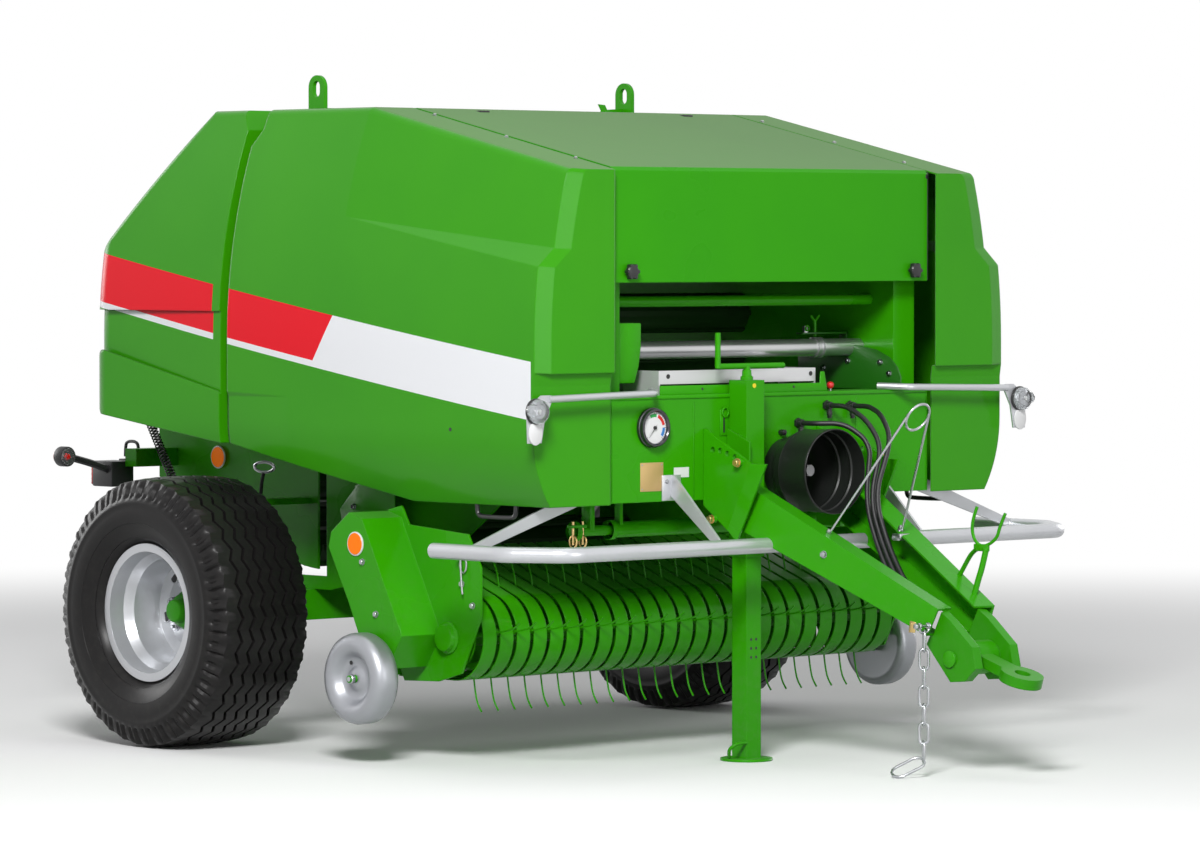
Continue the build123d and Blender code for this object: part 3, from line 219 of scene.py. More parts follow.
plainFinishes = {  # name: (deep tone, light tone, roughness low, high, grain scale, relief, settings)
    "blackPlastic": ((0.010, 0.010, 0.011), (0.020, 0.020, 0.021), 0.30, 0.45, 160, 0.12, {}),
    "hoseRubber": ((0.008, 0.008, 0.009), (0.016, 0.016, 0.017), 0.38, 0.55, 300, 0.15, {}),
    "zincSteel": ((0.34, 0.35, 0.37), (0.54, 0.55, 0.57), 0.20, 0.36, 120, 0.10, {"Metallic": 1.0}),
    "castSteel": ((0.30, 0.31, 0.33), (0.42, 0.43, 0.46), 0.30, 0.46, 60, 0.10, {"Metallic": 0.75}),
    "rollerPaint": ((0.006, 0.030, 0.005), (0.012, 0.052, 0.008), 0.34, 0.50, 60, 0.08,
                    {"Specular IOR Level": 0.25}),
    "yellowZinc": ((0.62, 0.42, 0.16), (0.75, 0.55, 0.26), 0.26, 0.40, 120, 0.08, {"Metallic": 1.0}),
    "groundSteel": ((0.52, 0.52, 0.53), (0.68, 0.68, 0.69), 0.24, 0.36, 80, 0.05, {"Metallic": 0.9}),
    "traySheet": ((0.62, 0.62, 0.63), (0.74, 0.74, 0.75), 0.34, 0.46, 60, 0.04, {"Metallic": 0.45}),
    "whitePlastic": ((0.70, 0.70, 0.71), (0.80, 0.80, 0.80), 0.30, 0.42, 90, 0.03, {}),
    "dialWhite": ((0.76, 0.76, 0.77), (0.82, 0.82, 0.82), 0.45, 0.55, 90, 0.0, {}),
    # flat black for print and plugs; the same black also paints the shade inside holes and slots
    "flatBlackAndHoleShade": ((0.010, 0.010, 0.010), (0.015, 0.015, 0.015), 0.4, 0.5, 90, 0.0, {}),
    "dialGreen": ((0.01, 0.30, 0.05), (0.02, 0.36, 0.07), 0.4, 0.5, 90, 0.0, {}),
    "dialRed": ((0.60, 0.01, 0.01), (0.70, 0.02, 0.015), 0.4, 0.5, 90, 0.0, {}),
    "dialBlue": ((0.02, 0.18, 0.52), (0.03, 0.22, 0.60), 0.4, 0.5, 90, 0.0, {}),
    # the orange lenses glow a little: painted light standing in for the light a reflector sends back; nothing
    # here is a lit lamp
    "orangeLensPaintedGlow": ((0.90, 0.16, 0.0), (0.98, 0.21, 0.0), 0.20, 0.28, 400, 0.25,
                   {"Specular IOR Level": 0.2, "Emission Color": (1.0, 0.20, 0.0, 1),
                    "Emission Strength": 0.22}),
    "redLens": ((0.45, 0.004, 0.004), (0.60, 0.008, 0.006), 0.14, 0.22, 400, 0.25, {"Coat Weight": 0.6}),
    "plateTan": ((0.50, 0.33, 0.12), (0.60, 0.42, 0.18), 0.35, 0.50, 70, 0.05, {"Metallic": 0.25}),
    "blackChrome": ((0.05, 0.05, 0.055), (0.09, 0.09, 0.095), 0.14, 0.24, 90, 0.02, {"Metallic": 0.8}),
    "blackSteel": ((0.010, 0.010, 0.011), (0.022, 0.022, 0.023), 0.24, 0.38, 90, 0.06, {}),
    "guardPlastic": ((0.009, 0.010, 0.009), (0.017, 0.019, 0.017), 0.28, 0.40, 220, 0.10,
                     {"Specular IOR Level": 0.4}),
    # a darker copy of the green paint: painted shade for parts deep in the net bay
    "paintedShadeGreen": ((0.010, 0.105, 0.004), (0.015, 0.140, 0.006), 0.34, 0.46, 90, 0.05, {}),
    "tapRed": ((0.66, 0.010, 0.012), (0.74, 0.018, 0.020), 0.28, 0.38, 90, 0.04, {"Coat Weight": 0.3}),
    "markYellow": ((0.80, 0.62, 0.02), (0.86, 0.68, 0.03), 0.4, 0.5, 90, 0.02, {}),
}
clearLens = {"tone": (0.95, 0.97, 0.98, 1), "roughLow": 0.04, "roughHigh": 0.09, "ribScale": 120}
finishes = {}  # the materials by name


def makeCoatGroup():
    # a sprayed coat: broad unevenness, orange peel, road dust low down, and a pale top on upward faces that
    # is dust and partly a painted reflection of the white surroundings
    tree = bpy.data.node_groups.new("sprayedCoat", "ShaderNodeTree")
    inputs = (("Vector", "Vector", None), ("Facing", "Vector", None), ("Peel Scale", "Float", 90.0),
              ("Dust Low", "Float", 0.02), ("Dust High", "Float", 0.9))
    for label, kind, value in inputs:
        socket = tree.interface.new_socket(label, in_out="INPUT", socket_type="NodeSocket" + kind)
        if value is not None:
            socket.default_value = value
    for label in ("Tint", "Peel", "Dust", "Top Dust And Reflection"):
        tree.interface.new_socket(label, in_out="OUTPUT", socket_type="NodeSocketFloat")
    start, end = tree.nodes.new("NodeGroupInput").outputs, tree.nodes.new("NodeGroupOutput")
    broad = noise(tree, start["Vector"], coatFilm["broadScale"], 3)
    peel = noise(tree, start["Vector"], start["Peel Scale"], 2)
    specks = noise(tree, start["Vector"], coatFilm["speckScale"], 5, 0.65)
    height = newNode(tree, "SeparateXYZ", {0: start["Vector"]}).outputs["Z"]
    low = ranged(tree, height, 0, 1, start["Dust High"], start["Dust Low"])
    patches = ranged(tree, specks, 0, 1, coatFilm["speckFrom"], coatFilm["speckTo"])
    # upward faces: dust lying on top, and partly a painted reflection that lightens them
    upward = newNode(tree, "SeparateXYZ", {0: start["Facing"]}).outputs["Z"]
    above = ranged(tree, upward, 0, 1, coatFilm["upFrom"], coatFilm["upTo"], "SMOOTHSTEP")
    uneven = calculate(tree, "MULTIPLY_ADD", specks, 0.5, 0.75)
    feed(tree, end, {"Tint": broad, "Peel": peel, "Dust": calculate(tree, "MULTIPLY", low, patches),
                     "Top Dust And Reflection": calculate(tree, "MULTIPLY", above, uneven, clamp=True)})
    return tree


def shaderShell(name, settings):
    mat, tree = newMaterial(name)
    shader = newNode(tree, "BsdfPrincipled", settings)
    newNode(tree, "OutputMaterial", {"Surface": shader.outputs[0]})
    finishes[name] = mat
    return tree, shader, newNode(tree, "TexCoord").outputs


def stripeMasks(tree, vector, facing):
    # both bands hang under a bowed line that falls to the front, on outward faces only
    place = newNode(tree, "SeparateXYZ", {0: vector}).outputs
    along = calculate(tree, "SUBTRACT", place["Y"], axleY)
    slope = calculate(tree, "MULTIPLY_ADD", along, stripe["bow"], stripe["rise"])
    line = calculate(tree, "MULTIPLY_ADD", slope, along, stripe["top"])
    depth = calculate(tree, "SUBTRACT", line, place["Z"])
    turned = newNode(tree, "SeparateXYZ", {0: facing}).outputs["X"]
    outward = calculate(tree, "GREATER_THAN", calculate(tree, "MULTIPLY", place["X"], turned),
                        stripe["outward"])
    joint = between(tree, along, stripe["jointFrom"], stripe["jointTo"])
    clear = calculate(tree, "MULTIPLY", outward, calculate(tree, "SUBTRACT", 1.0, joint))
    onSide = calculate(tree, "MULTIPLY", between(tree, along, stripe["frontY"], stripe["rearY"]), clear)
    whole = calculate(tree, "MULTIPLY", between(tree, depth, 0, stripe["fullDepth"]), onSide)
    edge = calculate(tree, "MULTIPLY_ADD", depth, stripe["slant"],
                     stripe["splitY"] - stripe["slant"] * stripe["redDepth"])
    behind = calculate(tree, "GREATER_THAN", along, edge)
    red = calculate(tree, "MULTIPLY", between(tree, depth, 0, stripe["redDepth"]), clear)
    return whole, calculate(tree, "MULTIPLY", red, behind)


def makePaint(name, coat):
    deep, light, roughLow, roughHigh, gloss, edgeRadius, metal, specular, topDustAndReflectionAmount = paints[name]
    settings = {"Metallic": metal, "Coat Weight": gloss, "Coat Roughness": coatFilm["coatRough"], "IOR": 1.5,
                "Specular IOR Level": specular}
    if topDustAndReflectionAmount > 0.5:  # dusty tops turn pale when seen along the sheet
        settings.update({"Sheen Weight": coatFilm["sheen"], "Sheen Roughness": coatFilm["sheenRough"]})
    tree, shader, coords = shaderShell(name, settings)
    film = newNode(tree, "Group", {"Vector": coords["Object"], "Facing": coords["Normal"]},
                   node_tree=coat).outputs
    colour = blendColours(tree, film["Tint"], deep, light)
    if name == "coverPaint":
        whole, rear = stripeMasks(tree, coords["Object"], coords["Normal"])
        colour = blendColours(tree, whole, colour, stripe["white"])
        colour = blendColours(tree, rear, colour, stripe["red"])
    # upward faces turn pale: partly dust, partly a painted reflection of the white surroundings seen along
    # the sheet
    topDustAndReflectionMask = ranged(tree, film["Top Dust And Reflection"], 0, topDustAndReflectionAmount)
    colour = blendColours(tree, ranged(tree, film["Dust"], 0, coatFilm["lowShare"]), colour,
                          coatFilm["lowDust"])
    colour = blendColours(tree, ranged(tree, topDustAndReflectionMask, 0, coatFilm["topDustAndReflectionShare"]), colour, coatFilm["topDustAndPaintedReflection"])
    clean = ranged(tree, film["Tint"], roughLow, roughHigh)
    rough = newNode(tree, "Mix", {0: topDustAndReflectionMask, 2: clean, 3: coatFilm["topRough"]}).outputs[0]
    edges = newNode(tree, "Bevel", {"Radius": edgeRadius}, samples=4).outputs[0]
    feed(tree, shader, {"Base Color": colour, "Roughness": rough,
                        "Normal": relief(tree, film["Peel"], coatFilm["peel"], Normal=edges)})
    if gloss:
        feed(tree, shader, {"Coat Weight": ranged(tree, topDustAndReflectionMask, gloss, 0)})


def makeRubber(coat):
    tree, shader, coords = shaderShell("tyreRubber", {"Specular IOR Level": tyreRubber["specular"]})
    values = {"Vector": coords["Object"], "Peel Scale": tyreRubber["grain"],
              "Dust High": tyreRubber["dustHigh"]}
    film = newNode(tree, "Group", values, node_tree=coat).outputs
    colour = blendColours(tree, film["Tint"], tyreRubber["deep"], tyreRubber["light"])
    dust = ranged(tree, film["Dust"], 0, tyreRubber["dustShare"])
    feed(tree, shader, {"Base Color": blendColours(tree, dust, colour, coatFilm["lowDust"]),
                        "Roughness": ranged(tree, film["Tint"], tyreRubber["roughLow"],
                                            tyreRubber["roughHigh"]),
                        "Normal": relief(tree, film["Peel"], tyreRubber["relief"], 0.0008)})


def makePlain(name, coat):
    deep, light, roughLow, roughHigh, grain, depth, settings = plainFinishes[name]
    tree, shader, coords = shaderShell(name, settings)
    film = newNode(tree, "Group", {"Vector": coords["Object"], "Peel Scale": grain}, node_tree=coat).outputs
    feed(tree, shader, {"Base Color": blendColours(tree, film["Tint"], deep, light),
                        "Roughness": ranged(tree, film["Tint"], roughLow, roughHigh)})
    if depth:
        feed(tree, shader, {"Normal": relief(tree, film["Peel"], depth)})


def makeGlass():
    settings = {"Base Color": clearLens["tone"], "Transmission Weight": 0.94, "IOR": 1.47, "Coat Weight": 0.3}
    tree, shader, coords = shaderShell("clearLens", settings)
    ribs = noise(tree, coords["Object"], clearLens["ribScale"], 2)
    feed(tree, shader, {"Roughness": ranged(tree, ribs, clearLens["roughLow"], clearLens["roughHigh"])})


def makeMaterials():
    coat = makeCoatGroup()
    for name in paints:
        makePaint(name, coat)
    makeRubber(coat)
    for name in plainFinishes:
        makePlain(name, coat)
    makeGlass()


# Shapes

def claim(bm, mat):
    # a new face has index 0, so finishes count from 1 until finishPiece
    fresh = [face for face in bm.faces if face.material_index == 0]
    for face in fresh:
        face.material_index = mat + 1
    return fresh


def soften(bm, edges, width):
    bmesh.ops.bevel(bm, geom=edges, offset=width, segments=2, profile=0.5, affect="EDGES", material=-1)


def addBox(bm, low, high, rounding=0.0, mat=0):
    low, high = Vector(low), Vector(high)
    verts = bmesh.ops.create_cube(bm, size=1)["verts"]
    bmesh.ops.scale(bm, vec=high - low, verts=verts)
    bmesh.ops.translate(bm, vec=(low + high) / 2, verts=verts)
    if rounding:
        soften(bm, list({e for v in verts for e in v.link_edges}), rounding)
    claim(bm, mat)


def addSideBox(bm, side, low, high, rounding=0.0, mat=0):
    # a box given for the left side, set on either
    lowX, highX = sorted((side * low[0], side * high[0]))
    addBox(bm, (lowX, *low[1:]), (highX, *high[1:]), rounding, mat)


def addRod(bm, start, end, radius, endRadius=None, segments=24, rounding=0.0, mat=0):
    start, end = Vector(start), Vector(end)
    turn = (end - start).to_track_quat("Z", "Y").to_matrix().to_4x4()
    place = Matrix.Translation((start + end) / 2) @ turn
    verts = bmesh.ops.create_cone(bm, cap_ends=True, segments=segments, radius1=radius,
                                  depth=(end - start).length,
                                  radius2=radius if endRadius is None else endRadius, matrix=place)["verts"]
    if rounding:
        edges = {e for v in verts for e in v.link_edges}
        soften(bm, [e for e in edges if any(len(f.verts) > 4 for f in e.link_faces)], rounding)
    claim(bm, mat)


def addSpun(bm, profile, centre, axis, steps=64, mat=0):
    # profile: (distance along the axis, radius) from one end to the other
    axis, centre = Vector(axis), Vector(centre)
    side = axis.orthogonal().normalized()
    verts = [bm.verts.new(centre + axis * along + side * max(radius, 1e-5)) for along, radius in profile]
    edges = [bm.edges.new(pair) for pair in zip(verts, verts[1:])]
    bmesh.ops.spin(bm, geom=verts + edges, cent=centre, axis=axis, angle=math.tau, steps=steps,
                   use_merge=True)
    fresh = [face for face in bm.faces if face.material_index == 0]
    bmesh.ops.remove_doubles(bm, verts=list({v for f in fresh for v in f.verts}), dist=2e-5)
    bmesh.ops.recalc_face_normals(bm, faces=claim(bm, mat))


def addTube(bm, points, radius, mat=0, smooth=True, closed=False, sides=3):
    data = bpy.data.curves.new("tubeLine", "CURVE")
    data.dimensions, data.bevel_depth, data.bevel_resolution = "3D", radius, sides
    data.use_fill_caps = not closed
    spline = data.splines.new("NURBS" if smooth else "POLY")
    spline.points.add(len(points) - 1)
    for target, point in zip(spline.points, points):
        target.co = (*point, 1)
    if smooth:
        spline.order_u, spline.use_endpoint_u, spline.resolution_u = 3, not closed, 6
    spline.use_cyclic_u = closed
    obj = bpy.data.objects.new("tubeLine", data)
    mesh = bpy.data.meshes.new_from_object(obj)
    bm.from_mesh(mesh)
    bpy.data.objects.remove(obj)
    bpy.data.meshes.remove(mesh)
    claim(bm, mat)


def addLoop(bm, centre, first, second, wire, mat=0, count=10):
    # a wire bent to a ring; first and second are its half axes
    angles = [math.tau * n / count for n in range(count)]
    points = [Vector(centre) + Vector(first) * math.cos(a) + Vector(second) * math.sin(a) for a in angles]
    addTube(bm, points, wire, mat, closed=True, sides=2)


def addBolt(bm, place, axis, size=0.010, height=0.007, washer=True, mat=0):
    # hexagon head on a washer, its foot at place
    place, axis = Vector(place), Vector(axis).normalized()
    foot = place
    if washer:
        foot = place + axis * 0.002
        addRod(bm, place, foot, size * 1.15, mat=mat)
    top = foot + axis * height
    addRod(bm, foot, top, size, size * 0.97, segments=6, mat=mat)
    addRod(bm, top, top + axis * 0.001, size * 0.80, size * 0.7, segments=18, mat=mat)


def addPlate(bm, corners, thickness, out, mat=0, rounding=0.0):
    # corners go round one face; the plate grows from it along out
    face = bm.faces.new([bm.verts.new(corner) for corner in corners])
    grown = bmesh.ops.extrude_face_region(bm, geom=[face])["geom"]
    verts = [item for item in grown if isinstance(item, bmesh.types.BMVert)]
    bmesh.ops.translate(bm, vec=Vector(out).normalized() * thickness, verts=verts)
    fresh = [item for item in bm.faces if item.material_index == 0]
    bmesh.ops.recalc_face_normals(bm, faces=fresh)
    if rounding:
        soften(bm, list({edge for item in fresh for edge in item.edges}), rounding)
    claim(bm, mat)


def addLink(bm, centre, along, across, length, width, wire):
    # one chain link or ring: a closed round wire bent to an oval
    along, across = Vector(along).normalized(), Vector(across).normalized()
    bend, straight = width / 2 - wire, length / 2 - width / 2
    points = []
    for end, first in ((1, -90), (-1, 90)):
        for step in range(7):
            angle = math.radians(first + step * 30)
            reach = end * straight + bend * math.cos(angle)
            points.append(Vector(centre) + along * reach + across * bend * math.sin(angle))
    addTube(bm, points, wire, smooth=False, closed=True, sides=2)


def addSpring(bm, start, end, radius, wire, turns):
    start, end = Vector(start), Vector(end)
    run = end - start
    side = run.orthogonal().normalized()
    other = run.normalized().cross(side)
    points = [start]
    for step in range(turns * 8 + 1):
        angle, share = math.tau * step / 8, 0.06 + 0.88 * step / (turns * 8)
        points.append(start + run * share + (side * math.cos(angle) + other * math.sin(angle)) * radius)
    addTube(bm, points + [end], wire, sides=1)


def mirrored(bm):
    # the same again on the other side of the machine
    fresh = bmesh.ops.duplicate(bm, geom=bm.verts[:] + bm.edges[:] + bm.faces[:])["geom"]
    bmesh.ops.scale(bm, vec=(-1, 1, 1),
                    verts=[item for item in fresh if isinstance(item, bmesh.types.BMVert)])
    bmesh.ops.reverse_faces(bm, faces=[item for item in fresh if isinstance(item, bmesh.types.BMFace)])


def finishPiece(bm, name, body, mats, replaced=(), sharpDeg=32):
    for face in bm.faces:
        face.material_index = max(face.material_index - 1, 0)
    mesh = bpy.data.meshes.new(name)
    bm.to_mesh(mesh)
    bm.free()
    obj = bpy.data.objects.new(name, mesh)
    scene.collection.objects.link(obj)
    for mat in mats:
        mesh.materials.append(finishes[mat])
    mesh.polygons.foreach_set("use_smooth", [True] * len(mesh.polygons))
    mesh.set_sharp_from_angle(angle=math.radians(sharpDeg))
    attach(obj, body)
    if replaced:
        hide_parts(*replaced)
    print("piece", name, len(mesh.polygons))


# Tyres, rims and hubs

tyre = {
    "waves": 36, "stepsPerWave": 8, "zigzag": 0.0095, "grooveDepth": 0.013, "grooveHalf": 0.0045,
    "ribHalf": 0.017, "grooves": (-0.112, -0.067, -0.022, 0.022, 0.067, 0.112), "treadHalf": 0.162,
    "crown": 0.009, "drawnRadius": 0.435, "notchDepth": 0.007, "notchSteps": (1, 2, 5),
    "wall": (  # (across, radius) from the bead up
        (0.1417, 0.2003), (0.1417, 0.224), (0.150, 0.230), (0.166, 0.240), (0.1685, 0.2445), (0.1715, 0.2445),
        (0.174, 0.248), (0.184, 0.264), (0.192, 0.284), (0.1935, 0.288), (0.1955, 0.289), (0.197, 0.296),
        (0.1995, 0.315), (0.1995, 0.333), (0.198, 0.348), (0.1992, 0.352), (0.1985, 0.358), (0.194, 0.368)),
    "shoulder": (  # (across, radius, zigzag share, notch share)
        (0.190, 0.376, 0, 1), (0.186, 0.388, 0, 1), (0.181, 0.400, 0, 1), (0.175, 0.411, 0, 1),
        (0.169, 0.420, 0.2, 0.8), (0.162, 0.4262, 0.5, 0.3)),
}


def tyreProfile(radius):
    # rows from bead to bead over the tread: (across, radius, zigzag share, notch share)
    grow = radius / tyre["drawnRadius"]
    rib, half, deep = tyre["ribHalf"], tyre["grooveHalf"], tyre["grooveDepth"]
    side = [(across, r * grow, 0, 0) for across, r in tyre["wall"]]
    side += [(across, r * grow, zig, notch) for across, r, zig, notch in tyre["shoulder"]]

    def crownAt(across):
        return radius - tyre["crown"] * (across / tyre["treadHalf"]) ** 2

    rows = [(-across, *rest) for across, *rest in side]
    for centre in tyre["grooves"]:
        rows.append((centre - rib, crownAt(centre - rib), 1, 0))
        for across, sunk in ((-half - 0.0012, 0), (-half * 0.6, deep), (half * 0.6, deep),
                             (half + 0.0012, 0)):
            rows.append((centre + across, crownAt(centre) - sunk, 1, 0))
    lastRib = tyre["grooves"][-1] + rib
    return rows + [(lastRib, crownAt(lastRib), 1, 0)] + side[::-1]


def buildTyre(sideName):
    low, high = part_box("tyre_" + sideName)
    centre = (low + high) / 2
    perWave = tyre["stepsPerWave"]
    steps = tyre["waves"] * perWave
    bm = bmesh.new()
    zig, notch = bm.verts.layers.float.new("zig"), bm.verts.layers.float.new("notch")
    verts = []
    for across, r, zigShare, notchShare in tyreProfile((high.z - low.z) / 2):
        vert = bm.verts.new(centre + Vector((across, 0, r)))
        vert[zig], vert[notch] = zigShare, notchShare
        verts.append(vert)
    edges = [bm.edges.new(pair) for pair in zip(verts, verts[1:])]
    bmesh.ops.spin(bm, geom=verts + edges, cent=centre, axis=xAxis, angle=math.tau, steps=steps,
                   use_merge=True)
    for vert in bm.verts:
        offset = vert.co - centre
        step = round(math.atan2(offset.z, offset.y) / math.tau * steps) % perWave
        vert.co.x += (abs(step - perWave / 2) / (perWave / 2) * 2 - 1) * tyre["zigzag"] * vert[zig]
        if step in tyre["notchSteps"]:
            inward = Vector((0, offset.y, offset.z)).normalized() * tyre["notchDepth"] * 0.45
            inward.x = math.copysign(tyre["notchDepth"], offset.x)
            vert.co -= inward * vert[notch]
    bmesh.ops.recalc_face_normals(bm, faces=bm.faces)
    finishPiece(bm, "tyreTread_" + sideName, "wheel_" + sideName, ["tyreRubber"],
                ["tyre_" + sideName], 40)


hub = {
    "profile": ((-0.010, 0.064), (-0.006, 0.060), (0.012, 0.052), (0.016, 0.040), (0.040, 0.037),
                (0.045, 0.034), (0.048, 0.020), (0.049, 0.0)),
    "studs": 6, "studCircle": 0.083, "studFoot": -0.022, "nut": 0.0135,
}


def spokes(centre, count, circle, turn):
    # places round the axle
    angles = [math.tau * (n + turn) / count for n in range(count)]
    return [centre + Vector((0, math.cos(a), math.sin(a))) * circle for a in angles]


def buildHub(sideName, side):
    centre, out = middle("tyre_" + sideName), xAxis * side
    bm = bmesh.new()
    addSpun(bm, hub["profile"], centre, out, 48)
    for spoke in spokes(centre, hub["studs"], hub["studCircle"], 0.3):
        foot = spoke + out * hub["studFoot"]
        addBolt(bm, foot, out, hub["nut"], 0.012, mat=1)
        addRod(bm, foot + out * 0.014, foot + out * 0.024, 0.006, segments=12, mat=1)
    finishPiece(bm, "hubCap_" + sideName, "wheel_" + sideName, ["castPaint", "zincSteel"])


rimDetails = {
    "holes": 6, "circle": 0.136, "radius": 0.0165, "lip": 0.0032, "disc": -0.0345,
    "valve": (0, -0.118, 0.118),
}


def buildRimDetails(sideName, side):
    centre, out = middle("tyre_" + sideName), xAxis * side
    r, lip = rimDetails["radius"], rimDetails["lip"]
    bm = bmesh.new()
    for spoke in spokes(centre, rimDetails["holes"], rimDetails["circle"], 0.8):
        place = spoke + out * rimDetails["disc"]
        addSpun(bm, [(0, r + lip), (0.0022, r + lip), (0.0036, r + lip / 2), (0.0022, r), (0, r)], place,
                out, 28)
        # a black disc paints the shade inside each hand hole
        addSpun(bm, [(0, r), (0.0014, r), (0.0014, 0)], place, out, 28, 1)
    stem = centre + Vector(rimDetails["valve"])
    addRod(bm, stem + out * -0.032, stem + out * 0.010, 0.0055, 0.0045, 16, mat=2)
    addRod(bm, stem + out * 0.010, stem + out * 0.018, 0.0052, segments=16, rounding=0.001, mat=2)
    finishPiece(bm, "rimDetails_" + sideName, "wheel_" + sideName,
                ["silverPaint", "flatBlackAndHoleShade", "blackPlastic"])


gaugeWheel = {  # (in from the face, below the rim); the hub rows are (in from the face, radius)
    "back": ((0.004, 0.045), (0.001, 0.030), (0, 0.018), (0.006, 0.006), (0.016, 0.0005), (0.026, 0)),
    "front": ((0.032, 0), (0.018, 0.004), (0.007, 0.014), (0.001, 0.028), (0, 0.040), (0.004, 0.052),
              (0.014, 0.064), (0.028, 0.072), (0.034, 0.080)),
    "hub": ((0.036, 0.045), (0.033, 0.036), (0.026, 0.028), (0.024, 0.013)), "bore": 0.013,
    "plug": (0, 0.030, 0.048), "plugIn": 0.0345,
    "nut": ((-0.018, 0.0), (-0.018, 0.0125), (-0.015, 0.0145), (-0.006, 0.0145), (-0.003, 0.0125),
            (-0.003, 0.008), (0.0012, 0.0075), (0.0015, 0.0)),
}


def buildGaugeWheel(sideName, side):
    low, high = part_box("gauge_wheel_" + sideName)
    centre, out = (low + high) / 2, xAxis * side
    half, r = (high.x - low.x) / 2, (high.z - low.z) / 2
    bore = [(-half + gaugeWheel["back"][0][0], gaugeWheel["bore"])]
    profile = bore + [(-half + deep, r - fall) for deep, fall in gaugeWheel["back"]]
    profile += [(half - deep, r - fall) for deep, fall in gaugeWheel["front"]]
    profile += [(half - deep, radius) for deep, radius in gaugeWheel["hub"]] + bore
    bm = bmesh.new()
    addSpun(bm, profile, centre, out, 72)
    plug = centre + out * (half - gaugeWheel["plugIn"]) + Vector(gaugeWheel["plug"])
    addSpun(bm, [(0, 0.0062), (0.0016, 0.0066), (0.0026, 0.0054), (0.0026, 0)], plug, out, 20, 2)
    finishPiece(bm, "gaugeWheel_" + sideName, "gauge_" + sideName, ["castSteel", "zincSteel", "flatBlackAndHoleShade"],
                ["gauge_wheel_" + sideName], 50)
    bm = bmesh.new()
    addSpun(bm, gaugeWheel["nut"], centre + out * (half + 0.0008), out, 36)
    finishPiece(bm, "gaugeNut_" + sideName, "pickup", ["zincSteel"])


# Pickup reel with sprung tines

reel = {"bar": 0.092, "barHalf": 0.918, "tip": 0.238, "tine": 0.0029, "pitch": 0.070, "first": -0.912,
        "count": 25, "bandWidth": 0.054, "firstDeg": -8, "discs": (-0.918, -0.300, 0.300, 0.912),
        "discRadius": 0.100}


def buildReel():
    low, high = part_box("pickup_reel")
    centre, half = (low + high) / 2, (high.x - low.x) / 2
    bar, firstX = reel["bar"], reel["first"] + reel["bandWidth"] + (reel["pitch"] - reel["bandWidth"]) / 2
    bm = bmesh.new()
    for reach, radius in ((half, 0.025), (half - 0.022, 0.030)):
        addRod(bm, centre - xAxis * reach, centre + xAxis * reach, radius)
    for x in reel["discs"]:
        addRod(bm, centre + xAxis * x, centre + xAxis * (x + 0.006), reel["discRadius"], segments=48)
    for quarter in range(4):
        angle = math.radians(quarter * 90 + reel["firstDeg"])
        out = Vector((0, math.cos(angle), math.sin(angle)))
        lag = Vector((0, math.sin(angle), -math.cos(angle)))
        ends = xAxis * reel["barHalf"]
        addRod(bm, centre + out * bar - ends, centre + out * bar + ends, 0.012, segments=16)
        for n in range(reel["count"]):
            root = centre + xAxis * (firstX + n * reel["pitch"]) + out * bar
            bends = ((0, 0), (0.05, 0), (0.095, 0.002), (0.125, 0.008), (reel["tip"] - bar, 0.022))
            addTube(bm, [root + out * reach + lag * back for reach, back in bends], reel["tine"], sides=1)
    finishPiece(bm, "pickupReel", "reel", ["greenPaint"], ["pickup_reel"], 45)


# Lamps, reflectors and the pressure gauge

frontLamp = {"place": (1.066, 1.112), "radius": 0.037, "deep": 0.030, "steps": 4,
             "side": (0.022, -0.018, 0.003), "sideRadius": 0.020, "reflector": (1.068, 1.046),
             "reflectorWide": 0.027, "reflectorHigh": 0.036}


def buildFrontLamps():
    seatY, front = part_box("front_lamps")[1].y, -yAxis
    r, deep, sideR = frontLamp["radius"], frontLamp["deep"], frontLamp["sideRadius"]
    centre, tongue = (Vector((x, seatY, z)) for x, z in (frontLamp["place"], frontLamp["reflector"]))
    bm = bmesh.new()
    addSpun(bm, [(0, r + 0.003), (0.005, r + 0.003), (0.006, r + 0.001), (0.0062, 0)], centre, front, 40, 1)
    addSpun(bm, [(0.006, r - 0.0005), (0.009, r + 0.0005), (0.012, r - 0.001), (deep - 0.004, r - 0.004),
                 (deep, r - 0.008), (deep + 0.0015, 0.012), (deep + 0.002, 0)], centre, front, 40)
    for step in range(frontLamp["steps"]):  # moulded steps on the lens
        at, ring = 0.011 + step * 0.0045, r - step * 0.0006
        addSpun(bm, [(at, ring - 0.0015), (at + 0.0011, ring + 0.0002), (at + 0.0022, ring - 0.0015)],
                centre, front, 40)
    addSpun(bm, [(0, sideR), (0.008, sideR), (0.016, sideR * 0.86), (0.021, sideR * 0.5), (0.0225, 0)],
            centre + Vector(frontLamp["side"]), xAxis, 28)
    addSpun(bm, [(0.0065, r - 0.006), (0.016, r * 0.55), (0.0165, 0)], centre, front, 32, 3)
    addSpun(bm, [(0.014, 0.0), (0.0145, 0.006), (0.019, 0.008), (0.024, 0.005), (0.025, 0)],
            centre + xAxis * 0.004, front, 20, 4)
    wide, high = xAxis * frontLamp["reflectorWide"], zAxis * frontLamp["reflectorHigh"]
    angles = [math.tau * n / 28 for n in range(28)]
    rim = [tongue + wide * math.cos(a) + high * math.sin(a) for a in angles]
    addPlate(bm, rim, 0.0055, front, 2, 0.0014)
    mirrored(bm)
    finishPiece(bm, "frontLamps", "chassis",
                ["clearLens", "blackPlastic", "whitePlastic", "zincSteel", "dialWhite"],
                ["front_lamps"])


